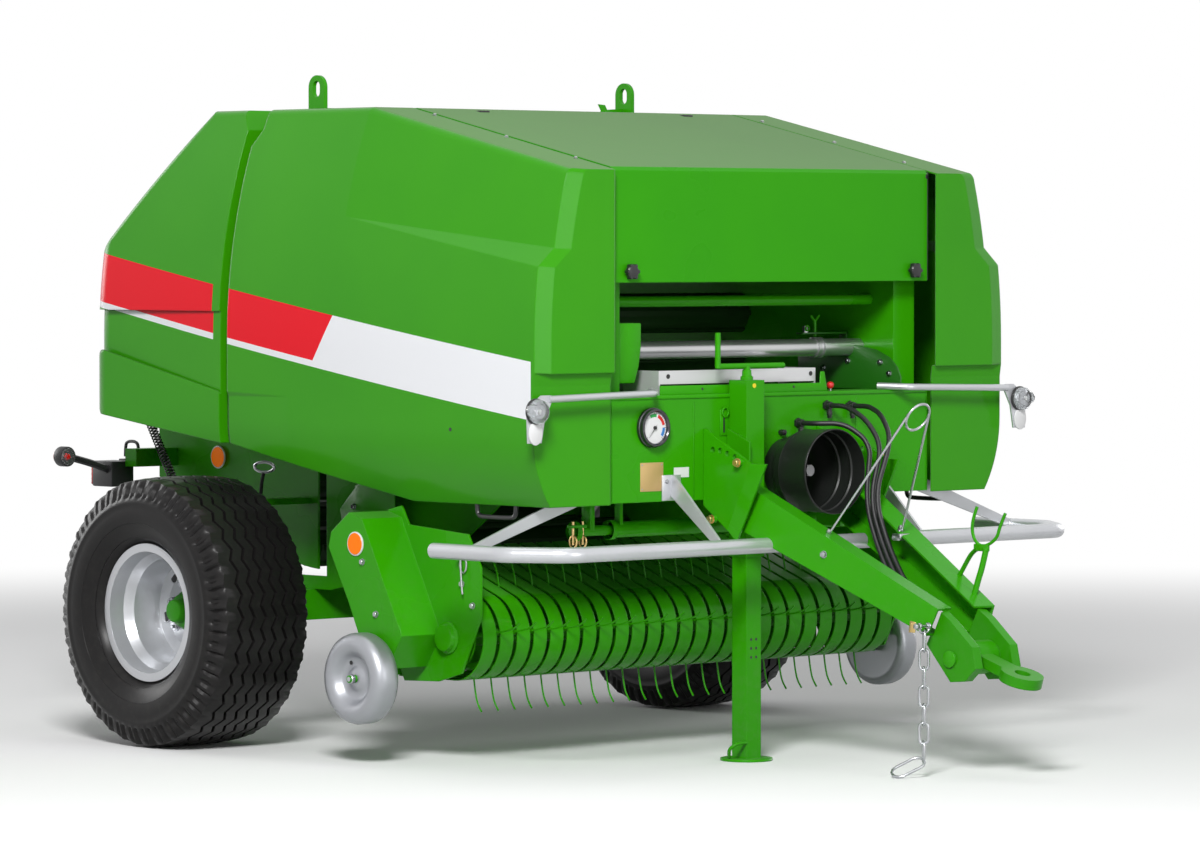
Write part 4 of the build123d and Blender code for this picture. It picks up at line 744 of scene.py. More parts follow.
rearLamp = {
    "seatY": 1.6585, "ribs": 5, "ribPitch": 0.0145,
    "arm": ((0.800, 1.690, 0.848), (0.850, 1.684, 0.862), (0.930, 1.668, 0.886), (1.034, 1.650, 0.908)),
    "outline": (1.050, 1.651, 0.910),
    "loop": ((0.735, 1.655, 0.890), (0.735, 1.655, 0.934), (0.735, 1.668, 0.952), (0.735, 1.715, 0.952),
             (0.735, 1.728, 0.938), (0.735, 1.728, 0.90)),
    "loopFoot": ((0.725, 1.652, 0.885), (0.757, 1.736, 0.893)),
}


def buildRearLamps():
    seatY, backY = rearLamp["seatY"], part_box("rear_lamps")[1].y
    bm = bmesh.new()
    addBox(bm, (0.752, seatY, 0.802), (0.848, backY - 0.012, 0.888), 0.006)
    addBox(bm, (0.757, backY - 0.013, 0.807), (0.843, backY, 0.883), 0.004, 1)
    addBox(bm, (0.790, backY - 0.012, 0.806), (0.811, backY + 0.0001, 0.884), 0.002, 2)
    for n in range(rearLamp["ribs"]):
        z = 0.812 + n * rearLamp["ribPitch"]
        addBox(bm, (0.758, backY - 0.0005, z), (0.842, backY + 0.0004, z + 0.0015), mat=1)
    # the outline lamp stands off on a rubber arm
    arm = rearLamp["arm"]
    addTube(bm, arm, 0.0125, 3)
    addRod(bm, Vector(arm[0]) - xAxis * 0.01, arm[1], 0.021, 0.0135, 20, mat=3)
    lamp = Vector(rearLamp["outline"])
    addSpun(bm, [(-0.020, 0.0), (-0.020, 0.031), (-0.016, 0.0335), (0.016, 0.0335), (0.020, 0.031),
                 (0.020, 0)], lamp, yAxis, 36, 3)
    addSpun(bm, [(0.020, 0.029), (0.027, 0.027), (0.032, 0.018), (0.034, 0)], lamp, yAxis, 36, 1)
    addSpun(bm, [(0.020, 0.029), (0.025, 0.027), (0.029, 0.016), (0.030, 0)], lamp, -yAxis, 36, 4)
    addSpun(bm, [(0.020, 0.012), (0.0285, 0.010), (0.0305, 0.004), (0.031, 0)], lamp + xAxis * 0.006, -yAxis,
            20, 1)
    # guard loop over the cluster
    addTube(bm, rearLamp["loop"], 0.0055, 3, sides=2)
    addBox(bm, *rearLamp["loopFoot"], 0.001, 3)
    mirrored(bm)
    finishPiece(bm, "rearLamps", "gate", ["blackPlastic", "redLens", "orangeLensPaintedGlow", "hoseRubber", "clearLens"],
                ["rear_lamps"])


# places on the left side, Y from the axle
reflectors = {"radius": 0.034, "pickup": (1.1008, -0.837, 0.683), "gate": (0.6215, 0.44, 0.905)}


def buildReflectors():
    r = reflectors["radius"]
    for body in ("pickup", "gate"):
        x, fromAxle, z = reflectors[body]
        bm = bmesh.new()
        for side in (-1, 1):
            place, out = (side * x, axleY + fromAxle, z), xAxis * side
            addSpun(bm, [(0, r + 0.004), (0.003, r + 0.004), (0.0045, r + 0.002), (0.0045, r)], place, out,
                    44, 1)
            addSpun(bm, [(0.0035, r), (0.0058, r - 0.002), (0.0065, 0)], place, out, 44)
        finishPiece(bm, body + "Reflectors", body, ["orangeLensPaintedGlow", "whitePlastic"])


dial = {
    "startDeg": 225, "sweepDeg": 270, "ticks": 31, "needleDeg": 229, "face": 0.0174, "needleLift": 0.0205,
    "bands": ((3, 118, 78), (4, 68, 12), (5, 0, -40)), "bandSteps": 10,  # (finish, from, to) in degrees
}


def buildGauge():
    low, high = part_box("pressure_gauge")
    centre, out = Vector(((low.x + high.x) / 2, high.y, (low.z + high.z) / 2)), -yAxis
    r, face = (high.x - low.x) / 2, dial["face"]
    bm = bmesh.new()
    addSpun(bm, [(0, r - 0.004), (0.002, r), (0.012, r), (0.013, r - 0.003), (0.018, r - 0.003),
                 (0.026, r - 0.0035), (0.0278, r - 0.006), (0.0278, r - 0.010), (0.024, r - 0.013),
                 (0.017, r - 0.0135)], centre, out, 72)
    addSpun(bm, [(0.0168, r - 0.010), (0.0172, 0)], centre, out, 48, 1)

    def dialPoint(deg, reach, lift):
        return centre + Vector((reach * math.cos(math.radians(deg)), -lift,
                                reach * math.sin(math.radians(deg))))

    def addPatch(fromDeg, toDeg, inner, outer, thick, mat):
        corners = ((fromDeg, inner), (toDeg, inner), (toDeg, outer), (fromDeg, outer))
        addPlate(bm, [dialPoint(deg, r * reach, face) for deg, reach in corners], thick, out, mat)

    for mat, fromDeg, toDeg in dial["bands"]:
        step = (toDeg - fromDeg) / dial["bandSteps"]
        for n in range(dial["bandSteps"]):
            addPatch(fromDeg + step * n, fromDeg + step * (n + 1), 0.54, 0.70, 0.0003, mat)
    for n in range(dial["ticks"]):
        deg = dial["startDeg"] - dial["sweepDeg"] * n / (dial["ticks"] - 1)
        inner, half = (0.66, 0.9) if n % 5 == 0 else (0.72, 0.5)
        addPatch(deg - half, deg + half, inner, 0.77, 0.0004, 2)
    needle = [(0, 0.66), (90, 0.025), (180, 0.2), (-90, 0.025)]  # (turn, reach)
    outline = [dialPoint(dial["needleDeg"] + turn, r * reach, dial["needleLift"]) for turn, reach in needle]
    addPlate(bm, outline, 0.0006, out, 2)
    addRod(bm, centre + out * 0.017, centre + out * 0.0225, r * 0.09, segments=20, mat=2)
    finishPiece(bm, "pressureDial", "chassis",
                ["blackChrome", "dialWhite", "flatBlackAndHoleShade", "dialGreen", "dialRed", "dialBlue"],
                ["pressure_gauge"])


# Shaft guard, splined stub and hose ends

guard = {
    "profile": (
        (0.0003, 0.100), (0.034, 0.1035), (0.044, 0.106), (0.052, 0.112), (0.066, 0.119), (0.090, 0.1265),
        (0.096, 0.1295), (0.102, 0.1275), (0.140, 0.130), (0.206, 0.1325), (0.212, 0.134), (0.218, 0.134),
        (0.220, 0.1325), (0.220, 0.1305), (0.214, 0.1295), (0.170, 0.1275), (0.166, 0.1235), (0.158, 0.1235),
        (0.154, 0.1265), (0.120, 0.1245), (0.116, 0.1205), (0.108, 0.1205), (0.104, 0.1235), (0.088, 0.1215),
        (0.062, 0.113), (0.042, 0.099), (0.006, 0.095), (0.006, 0.070), (0.0003, 0.070)),
    "bolts": 4, "boltCircle": 0.083, "splines": 6, "splineCircle": 0.0160, "splineRadius": 0.0036,
    "splineLong": 0.088,
}


def buildGuard():
    low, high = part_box("pto_guard")
    centre = Vector(((low.x + high.x) / 2, high.y + 0.0003, (low.z + high.z) / 2))
    bm = bmesh.new()
    addSpun(bm, guard["profile"], centre, -yAxis, 96)
    for n in range(guard["bolts"]):
        angle = math.radians(45 + 90 * n)
        across = Vector((math.cos(angle), 0, math.sin(angle)))
        addBolt(bm, centre + across * guard["boltCircle"] - yAxis * 0.006, -yAxis, 0.008, 0.006, mat=1)
    finishPiece(bm, "shaftGuard", "chassis", ["guardPlastic", "zincSteel"], ["pto_guard"],
                40)
    bm = bmesh.new()
    start = Vector((centre.x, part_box("pto_shaft")[0].y, centre.z))
    for n in range(guard["splines"]):
        angle = math.tau * n / guard["splines"]
        line = start + Vector((math.cos(angle), 0, math.sin(angle))) * guard["splineCircle"]
        addRod(bm, line + yAxis * 0.003, line + yAxis * guard["splineLong"], guard["splineRadius"],
               segments=10)
    finishPiece(bm, "shaftSplines", "pto", ["groundSteel"])


hosePorts = {"ports": ((0.108, 1.051), (0.235, 1.104), (0.339, 1.101)), "nut": 0.0165, "neck": 0.0118,
             "drop": 0.017, "blankPort": (0.032, 1.023)}


def buildHoseEnds():
    seatY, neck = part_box("hose_ends")[1].y, hosePorts["neck"]
    bm = bmesh.new()
    for x, z in hosePorts["ports"]:
        seat = Vector((x, seatY, z))
        addRod(bm, seat, seat - yAxis * 0.010, hosePorts["nut"], segments=6, rounding=0.001)
        addRod(bm, seat - yAxis * 0.010, seat - yAxis * 0.0255, neck, rounding=0.001)
        addSpun(bm, [(0.012, 0.0125), (0.016, 0.0132), (0.020, 0.0125), (0.0255, neck)], seat, -yAxis, 24)
        elbow = seat - yAxis * hosePorts["drop"]
        addRod(bm, elbow + zAxis * 0.011, elbow - zAxis * 0.040, 0.0072, segments=20, rounding=0.001)
        addRod(bm, elbow - zAxis * 0.018, elbow - zAxis * 0.032, 0.0095, segments=6, rounding=0.001)
    x, z = hosePorts["blankPort"]
    addRod(bm, (x, seatY, z), (x, seatY - 0.022, z), 0.009, segments=18, rounding=0.001)
    finishPiece(bm, "hoseElbows", "chassis", ["blackSteel"], ["hose_ends"])


# Safety chain with its shackle and the ring on the floor

chain = {
    "links": 7, "length": 0.0730, "width": 0.036, "wire": 0.0042, "pitch": 0.0562, "x": -0.150, "topZ": 0.414,
    "ringLength": 0.118, "ringWidth": 0.062, "ringWire": 0.0046, "ringHeading": (-0.90, 0.436, 0),
    "ringTilt": 0.5, "pinAbove": 0.046, "bow": ((0.021, 0), (0.021, -0.008), (0.016, -0.018), (0, -0.024)),
    "bowWire": 0.0048,
    "tag": ((0.036, -0.020), (0.010, -0.020), (0.006, 0.012), (0.030, 0.016)),  # (rearward, up) from the pin
}


def buildChain():
    low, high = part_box("safety_chain")
    x, y, topZ = chain["x"], (low.y + high.y) / 2, chain["topZ"]
    bm = bmesh.new()
    for n in range(chain["links"]):
        side = yAxis + xAxis * (0.8 if n % 2 == 0 else -0.8)  # each link a quarter turn from the last
        centre = Vector((x + 0.0006 * n, y + 0.0008 * n, topZ - n * chain["pitch"]))
        addLink(bm, centre, zAxis, side, chain["length"], chain["width"], chain["wire"])
    wire, length = chain["ringWire"], chain["ringLength"]
    ringZ = topZ - (chain["links"] - 1) * chain["pitch"] - chain["length"] / 2 + 2 * chain["wire"] + wire
    drop = math.asin((ringZ - wire - 0.0042) / (length - 2 * wire))  # its far end touches the floor
    heading = Vector(chain["ringHeading"])
    along = heading * math.cos(drop) - zAxis * math.sin(drop)
    level = heading.cross(zAxis)
    upward = along.cross(level)
    lifted = level + upward * math.copysign(chain["ringTilt"], upward.z)  # the far side lies higher
    addLink(bm, Vector((x + 0.003, y + 0.004, ringZ)) + along * (length / 2 - wire), along, lifted, length,
            chain["ringWidth"], wire)
    # bow shackle round the first link, its pin through the lug
    pinZ = topZ + chain["pinAbove"]
    bow = [Vector((x + reach, y, pinZ + fall)) for reach, fall in chain["bow"]]
    bow += [Vector((x - reach, y, pinZ + fall)) for reach, fall in chain["bow"][-2::-1]]
    addTube(bm, bow, chain["bowWire"])
    addRod(bm, (x - 0.030, y, pinZ), (x + 0.016, y, pinZ), 0.0045, segments=16)
    for end in (-0.021, 0.021):
        addSpun(bm, [(-0.006, 0.0), (-0.006, 0.0092), (-0.004, 0.0105), (0.004, 0.0105), (0.006, 0.0092),
                     (0.006, 0)],
                (x + end, y, pinZ), xAxis, 24)
    addRod(bm, (x - 0.040, y, pinZ), (x - 0.028, y, pinZ), 0.0095, segments=6, rounding=0.001)
    addPlate(bm, [(x - 0.0275, y + back, pinZ + up) for back, up in chain["tag"]], 0.004, -xAxis, 1, 0.001)
    finishPiece(bm, "towChain", "chassis", ["zincSteel", "yellowZinc"], ["safety_chain"], 50)


# Bent rods that hold the hoses over the drawbar

hoseFork = {  # centre lines and wire radii
    "prongs": ((0.120, -1.414, 0.812), (0.116, -1.400, 0.775), (0.122, -1.390, 0.735), (0.120, -1.408, 0.702),
               (0.120, -1.437, 0.690), (0.120, -1.470, 0.700), (0.123, -1.497, 0.722), (0.120, -1.508, 0.752),
               (0.120, -1.532, 0.795)), "prongWire": 0.0052,
    "joint": ((0.114, -1.462, 0.676), (0.126, -1.404, 0.698)),
    "post": ((0.120, -1.452, 0.684), (0.117, -1.440, 0.630), (0.112, -1.425, 0.585), (0.108, -1.412, 0.535)),
    "postWire": 0.0095,
    "brace": ((0.120, -1.418, 0.684), (0.132, -1.384, 0.672), (0.142, -1.350, 0.640), (0.146, -1.322, 0.604),
              (0.144, -1.302, 0.578)), "braceWire": 0.0072,
}


def buildHoseFork():
    bm = bmesh.new()
    addTube(bm, hoseFork["prongs"], hoseFork["prongWire"])
    addBox(bm, *hoseFork["joint"], 0.002)
    addTube(bm, hoseFork["post"], hoseFork["postWire"])
    addTube(bm, hoseFork["brace"], hoseFork["braceWire"])
    finishPiece(bm, "hoseFork", "chassis", ["greenPaint"])


# Hood: knobs, seals and hinge clips

hoodKnob = {
    "x": 0.624, "z": 1.532, "lobes": 6, "lobeCircle": 0.0195, "lobeRadius": 0.0062,
    "profile": ((0.005, 0.010), (0.006, 0.019), (0.010, 0.0225), (0.020, 0.0225), (0.0245, 0.019),
                (0.026, 0.012), (0.026, 0)),
    "clipX": 0.45, "clipHalf": 0.020,
}


def buildHoodFittings():
    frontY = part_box("hood")[0].y
    bm = bmesh.new()
    for side in (-1, 1):
        foot = Vector((side * hoodKnob["x"], frontY, hoodKnob["z"]))
        addRod(bm, foot, foot - yAxis * 0.006, 0.012, segments=20, mat=1)
        addSpun(bm, hoodKnob["profile"], foot, -yAxis, 36)
        for n in range(hoodKnob["lobes"]):
            angle = math.tau * n / hoodKnob["lobes"]
            lobe = foot + Vector((math.cos(angle), 0, math.sin(angle))) * hoodKnob["lobeCircle"]
            addRod(bm, lobe - yAxis * 0.007, lobe - yAxis * 0.0245, hoodKnob["lobeRadius"], segments=16,
                   rounding=0.0015)
        # black seal along each end of the hood front, then the hinge clip
        addSideBox(bm, side, (0.6955, frontY + 0.001, 1.50), (0.7005, frontY + 0.007, 1.848), 0.001)
        addSideBox(bm, side, (0.686, frontY - 0.0008, 1.828), (0.700, frontY + 0.004, 1.842), 0.001)
        clip, half = hoodKnob["clipX"], hoodKnob["clipHalf"]
        addSideBox(bm, side, (clip - half, axleY - 0.712, 2.034), (clip + half, axleY - 0.686, 2.0445), 0.002)
    finishPiece(bm, "hoodKnobs", "hood", ["blackPlastic", "zincSteel"])


# Net bay between the front walls; Y counts from the axle

netBay = {
    "wallY": -1.500, "wallDeep": 0.070,
    "wall": ((-0.600, 1.372), (-0.503, 1.372), (-0.503, 1.300), (-0.512, 1.240), (-0.530, 1.186),
             (-0.600, 1.186)),
    "discX": 0.556,
    "disc": ((-1.12, 1.275), (-1.26, 1.292), (-1.407, 1.287), (-1.478, 1.276), (-1.538, 1.252),
             (-1.572, 1.222), (-1.588, 1.190), (-1.588, 1.1485), (-1.12, 1.1485)),
    "discBolts": ((-1.24, 1.262), (-1.24, 1.214), (-1.352, 1.238), (-1.500, 1.236), (-1.540, 1.200)),
    "clampY": -1.30, "wing": ((0.436, 1.386), (0.446, 1.374), (0.455, 1.368), (0.464, 1.374), (0.474, 1.386)),
    "ring": ((0.39, 1.343), (0.40, 1.356), (0.412, 1.343), (0.40, 1.335)),
    "collars": (0.395, 0.420, -0.585), "tap": (0.296, -1.53, 1.167),
    "tapProfile": ((-0.012, 0.0), (-0.011, 0.006), (-0.006, 0.0105), (0, 0.0120), (0.006, 0.0105),
                   (0.010, 0.0062), (0.0115, 0.0)),
    "lipY": -1.562, "lip": ((-0.480, 1.1485), (0.252, 1.1485), (0.238, 1.212), (0.221, 1.212),
                            (0.218, 1.176), (-0.480, 1.178)),
    "lipHoles": (-0.30, 0.10),
}


def buildNetBay():
    bm = bmesh.new()
    wallY, lipY, clampY = (axleY + netBay[key] for key in ("wallY", "lipY", "clampY"))
    addPlate(bm, [(x, wallY, z) for x, z in netBay["wall"]], netBay["wallDeep"], yAxis, 0, 0.003)
    # the disc plate and the clamp take the darker green: painted shade
    addPlate(bm, [(netBay["discX"], axleY + y, z) for y, z in netBay["disc"]], 0.006, xAxis, 1, 0.001)
    for y, z in netBay["discBolts"]:
        addBolt(bm, (netBay["discX"], axleY + y, z), -xAxis, 0.0085, 0.007, mat=3)
    # clamp with its wing bolt at the end of the net roller
    addBox(bm, (0.385, clampY - 0.016, 1.325), (0.590, clampY + 0.016, 1.331), 0.001, 1)
    addBox(bm, (0.584, clampY - 0.016, 1.270), (0.590, clampY + 0.016, 1.331), 0.001, 1)
    addRod(bm, (0.455, clampY, 1.318), (0.455, clampY, 1.372), 0.0055, segments=16)
    addTube(bm, [(x, clampY, z) for x, z in netBay["wing"]], 0.0042, sides=2)
    addRod(bm, (0.412, clampY, 1.330), (0.412, clampY, 1.352), 0.010, segments=6, mat=3)
    addTube(bm, [(x, clampY - 0.02, z) for x, z in netBay["ring"]], 0.003, closed=True, sides=2)
    roller = middle("net_roller")
    for x in netBay["collars"]:
        addSpun(bm, [(0, 0.0282), (0.0015, 0.0335), (0.0095, 0.0335), (0.011, 0.0282)],
                (x, roller.y, roller.z), xAxis, 36, 4)
    # red tap on its rod
    tap = Vector(netBay["tap"]) + yAxis * axleY
    addSpun(bm, netBay["tapProfile"], tap, zAxis, 28, 2)
    addRod(bm, tap - zAxis * 0.0184, tap - zAxis * 0.006, 0.004, segments=12, mat=3)
    # rivets at the ends of the tray's lip, and the strip below it
    trayLow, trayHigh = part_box("net_tray")
    for x in (trayLow.x + 0.040, trayHigh.x - 0.022):
        addSpun(bm, [(0, 0.0075), (0.0012, 0.0075), (0.0014, 0.0045), (0.0014, 0)],
                (x, trayLow.y, trayHigh.z - 0.018), -yAxis, 20, 5)
    addPlate(bm, [(x, lipY, z) for x, z in netBay["lip"]], 0.004, yAxis, 0, 0.0008)
    # black discs paint the shade inside the lip's holes
    for x in netBay["lipHoles"]:
        addSpun(bm, [(0, 0.004), (0.0008, 0.004), (0.001, 0)], (x, lipY, 1.166), -yAxis, 16, 5)
    finishPiece(bm, "netBay", "chassis",
                ["greenPaint", "paintedShadeGreen", "tapRed", "zincSteel", "groundSteel", "flatBlackAndHoleShade"])


# Cover handles and gate springs

coverHandle = {
    "x": 0.948, "wire": 0.0075,
    "line": ((-0.308, 0.830), (-0.308, 0.800), (-0.314, 0.782), (-0.332, 0.778), (-0.464, 0.778),
             (-0.482, 0.782), (-0.488, 0.800), (-0.488, 0.830)),
}
gateSpring = {  # ends: (Y from the axle, Z)
    "x": 0.705, "top": (0.712, 1.030), "foot": (0.560, 0.800), "radius": 0.0145, "wire": 0.0028, "turns": 22,
    "pinFrom": 0.612, "pinRadius": 0.008,
}


def buildCoverHandle(sideName, side):
    bm = bmesh.new()
    addTube(bm, [(side * coverHandle["x"], y, z) for y, z in coverHandle["line"]], coverHandle["wire"])
    finishPiece(bm, "coverHandle_" + sideName, "side_cover_" + sideName, ["blackSteel"])


def buildGateSprings():
    bm = bmesh.new()
    for side in (-1, 1):
        x, ends = side * gateSpring["x"], [(axleY + y, z) for y, z in (gateSpring["top"], gateSpring["foot"])]
        addSpring(bm, (x, *ends[0]), (x, *ends[1]), gateSpring["radius"], gateSpring["wire"],
                  gateSpring["turns"])
        for end in ends:
            addRod(bm, (side * gateSpring["pinFrom"], *end), (x + side * 0.018, *end),
                   gateSpring["pinRadius"], segments=16, mat=1)
    finishPiece(bm, "gateSprings", "gate", ["blackSteel", "zincSteel"])


# Plates, bolts and marks on the front box and the drawbar

frontBox = {
    "plate": (-0.573, 0.853, -0.476, 0.942), "plateRivetX": (-0.566, -0.483), "plateRivetZ": (0.860, 0.935),
    "sticker": (-0.430, 0.893, -0.366, 0.924),
    "strutFoot": ((0.404, 0.822), (0.484, 0.902)), "strutBolts": (0.422, 0.466),
    "seams": (-0.693, -0.345, 0.372, 0.693), "hook": (-0.2155, 1.092), "hole": (0.475, 1.073),
}
drawbar = {
    "bracketBolts": ((0.316, -0.166, 0.941), (0.318, -0.052, 0.762)),  # Y from the box front
    "beamBolt": (0.2085, -1.079, 0.664), "beamOut": 0.212, "hitchPin": (0.1035, -2.44, 0.360),
    "restNuts": (-0.175, 0.142), "restFoot": ((0.118, -1.086, 0.694), (0.166, -1.050, 0.716)),
}


def buildBoxFittings():
    y = boxFrontY
    bm = bmesh.new()
    for key, thick, mat, rounding in (("plate", 0.0016, 0, 0.0004), ("sticker", 0.0008, 1, 0.0)):
        lowX, lowZ, highX, highZ = frontBox[key]
        addBox(bm, (lowX, y - thick, lowZ), (highX, y + 0.0002, highZ), rounding, mat)
    for x in frontBox["plateRivetX"]:
        for z in frontBox["plateRivetZ"]:
            addSpun(bm, [(0, 0.0028), (0.001, 0.0024), (0.0016, 0)], (x, y - 0.0016, z), -yAxis, 12, 2)
    # strut foot bolted to the box
    (lowX, lowZ), (highX, highZ) = frontBox["strutFoot"]
    for side in (-1, 1):
        addSideBox(bm, side, (lowX, y - 0.006, lowZ), (highX, y, highZ), 0.0025, 3)
        for x in frontBox["strutBolts"]:
            addBolt(bm, (side * x, y - 0.006, 0.882), -yAxis, 0.0068, 0.005, washer=False, mat=2)
    for x in frontBox["seams"]:
        addBox(bm, (x - 0.0022, y - 0.0016, 0.826), (x + 0.0022, y, 1.128), 0.0006, 4)
    # latch plate with its slot and hook, a drilled hole and the top fold; the slot and the hole are black
    # patches of painted shade
    addBox(bm, (-0.233, y - 0.003, 1.018), (-0.198, y + 0.0002, 1.100), 0.0015, 4)
    addBox(bm, (-0.2205, y - 0.0036, 1.028), (-0.2135, y - 0.002, 1.074), mat=5)
    hookX, hookZ = frontBox["hook"]
    addLoop(bm, (hookX, y - 0.008, hookZ), (0.013, 0, 0), (0, 0, 0.015), 0.0028, 4)
    holeX, holeZ = frontBox["hole"]
    addSpun(bm, [(0, 0.0062), (0.0006, 0.0062), (0.0009, 0)], (holeX, y, holeZ), -yAxis, 20, 5)
    addBox(bm, (-0.697, y - 0.004, 1.1375), (0.697, y + 0.010, 1.1492), 0.0015, 4)
    finishPiece(bm, "boxFittings", "chassis",
                ["plateTan", "whitePlastic", "zincSteel", "silverPaint", "greenPaint", "flatBlackAndHoleShade"])


def buildDrawbarBolts():
    bm = bmesh.new()
    for side in (-1, 1):
        for x, fromBox, z in drawbar["bracketBolts"]:
            addBolt(bm, (side * x, boxFrontY + fromBox, z), xAxis * side, 0.0125, 0.010, mat=1)
        x, y, z = drawbar["beamBolt"]
        addBolt(bm, (side * x, y, z), (side, -drawbar["beamOut"], 0), 0.010, 0.008)
        x, fromAxle, z = drawbar["hitchPin"]
        addSpun(bm, [(0, 0.024), (0.002, 0.026), (0.004, 0.0255), (0.006, 0.016), (0.0065, 0)],
                (side * x, axleY + fromAxle, z), xAxis * side, 36, 2)
    # nuts on top of the shaft rest's feet
    for x in drawbar["restNuts"]:
        addSpun(bm, [(-0.006, 0.0), (-0.006, 0.008), (0.006, 0.0085), (0.012, 0.0065), (0.013, 0.0)],
                (x, -1.064, 0.729), (0, -0.485, 0.874), 24)
    addBox(bm, *drawbar["restFoot"], 0.003)
    finishPiece(bm, "drawbarBolts", "chassis", ["zincSteel", "yellowZinc", "greenPaint"])


# Parking stand

stand = {
    "x": -0.153, "legDeep": 0.0393, "holesZ": 0.325, "holePitch": 0.028, "holeRows": 3, "holeX": 0.011,
    "bearing": ((0, 0.020), (0.010, 0.020), (0.013, 0.0155), (0.030, 0.0145), (0.032, 0.012)),
    "bearingZ": 1.192, "loop": ((-0.030, -0.030, 0.058), (-0.066, -0.034, 0.060), (-0.086, -0.030, 0.052),
                                (-0.090, -0.010, 0.036), (-0.074, 0, 0.014)),
    "foot": ((0.0, 0.0825), (0.0035, 0.0835), (0.0072, 0.0815), (0.0085, 0.079), (0.0082, 0.045)),
}


def buildStandFittings():
    x, y = stand["x"], boxFrontY - stand["legDeep"]
    bm = bmesh.new()
    # bearing under the crank, the grease mark and the crank's end
    addSpun(bm, stand["bearing"], (x, y, stand["bearingZ"]), zAxis, 32)
    addSpun(bm, [(0, 0.0075), (0.001, 0.0072), (0.0013, 0)], (x - 0.005, y - 0.039, 1.175), -yAxis, 20, 1)
    addTube(bm, [(x + 0.160, y, 1.236), (x + 0.154, y, 1.236)], 0.0095, sides=2)
    finishPiece(bm, "crankBearing", "chassis", ["greenPaint", "markYellow"])

    bm = bmesh.new()
    # black discs paint the shade inside the leg's holes
    for row in range(stand["holeRows"]):
        for sideX in (-stand["holeX"], stand["holeX"]):
            place = (x + sideX, y - 0.032, stand["holesZ"] + row * stand["holePitch"])
            addSpun(bm, [(0.0, 0.0048), (0.00015, 0.0046), (0.0002, 0)], place, -yAxis, 16, 1)
    addTube(bm, [(x + dx, y + dy, z) for dx, dy, z in stand["loop"]], 0.0055)
    addSpun(bm, stand["foot"], (x, y, 0.0002), zAxis, 56)
    finishPiece(bm, "standFoot", "stand", ["greenPaint", "flatBlackAndHoleShade"])


# Side fittings between wheel and pickup; Y counts from the axle

sideSheet = {
    "x": 0.700,
    "outline": ((-0.398, 0.862), (-0.288, 0.760), (-0.300, 0.706), (-0.450, 0.560), (-0.530, 0.500),
                (-0.560, 0.620), (-0.560, 0.840)),
    "brackets": (((0.612, -0.40, 0.80), (0.702, -0.36, 0.84)), ((0.612, -0.53, 0.60), (0.702, -0.49, 0.64)),
                 ((0.612, -0.03, 0.765), (0.796, 0.04, 0.785))),
    "bolts": ((-0.36, 0.770), (-0.455, 0.635)),
    "strap": ((0.800, -0.016, 0.872), (0.796, 0.004, 0.830), (0.790, 0.012, 0.780)), "strapWire": 0.006,
    "latch": (0.800, -0.020, 0.890),
}
pickupBolts = {
    "outer": ((1.1001, -0.870, 0.628), (1.1001, -0.935, 0.468), (0.9382, -1.155, 0.565),
              (0.9382, -1.205, 0.500), (0.9382, -1.090, 0.395)),
    "bearing": (0.938, -1.090, 0.395),
    "bearingProfile": ((0, 0.050), (0.006, 0.050), (0.010, 0.044), (0.024, 0.040), (0.026, 0.030),
                       (0.0262, 0)),
    "clip": (0.944, -1.165, 0.625), "pin": ((0.936, -1.165, 0.655), (0.972, -1.165, 0.655)),
    "wire": ((0.955, -1.165, 0.66), (0.958, -1.168, 0.60), (0.953, -1.172, 0.535)),
}
pinTube = {"y": -1.43, "z": 0.730, "ends": (-0.730, -0.580), "toX": -0.560, "radius": 0.016,
           "pins": (-0.745, -0.705)}


def fromAxle(point, side=1):
    # a point given on the left side with Y from the axle
    return Vector((side * point[0], axleY + point[1], point[2]))


def buildSideSheets():
    bm = bmesh.new()
    addPlate(bm, [fromAxle((sideSheet["x"], y, z)) for y, z in sideSheet["outline"]], 0.004, xAxis, 0, 0.0008)
    for low, high in sideSheet["brackets"]:
        addBox(bm, fromAxle(low), fromAxle(high), 0.002)
    for y, z in sideSheet["bolts"]:
        addBolt(bm, fromAxle((sideSheet["x"] + 0.004, y, z)), xAxis, 0.009, 0.007, mat=1)
    # strap with a sprung latch ring under the cover
    addTube(bm, [fromAxle(point) for point in sideSheet["strap"]], sideSheet["strapWire"], 3, sides=2)
    addLoop(bm, fromAxle(sideSheet["latch"]), (0, 0.052, 0), (0, 0, 0.017), 0.005, 1, count=12)
    mirrored(bm)
    finishPiece(bm, "sideSheets", "chassis", ["greenPaint", "zincSteel", "blackSteel", "hoseRubber"])


def buildPickupBolts():
    bm = bmesh.new()
    for side in (-1, 1):
        out = xAxis * side
        for place in pickupBolts["outer"]:
            addBolt(bm, fromAxle(place, side), out, 0.009, 0.007, mat=1)
        addSpun(bm, pickupBolts["bearingProfile"], fromAxle(pickupBolts["bearing"], side), out, 40)
        addLoop(bm, fromAxle(pickupBolts["clip"], side), (0, 0.016, 0), (0, 0, 0.026), 0.003, 1)
        addRod(bm, *[fromAxle(point, side) for point in pickupBolts["pin"]], 0.008, segments=16, mat=1)
        addTube(bm, [fromAxle(point, side) for point in pickupBolts["wire"]], 0.0032, 1, sides=2)
    finishPiece(bm, "pickupBolts", "pickup", ["greenPaint", "zincSteel"])


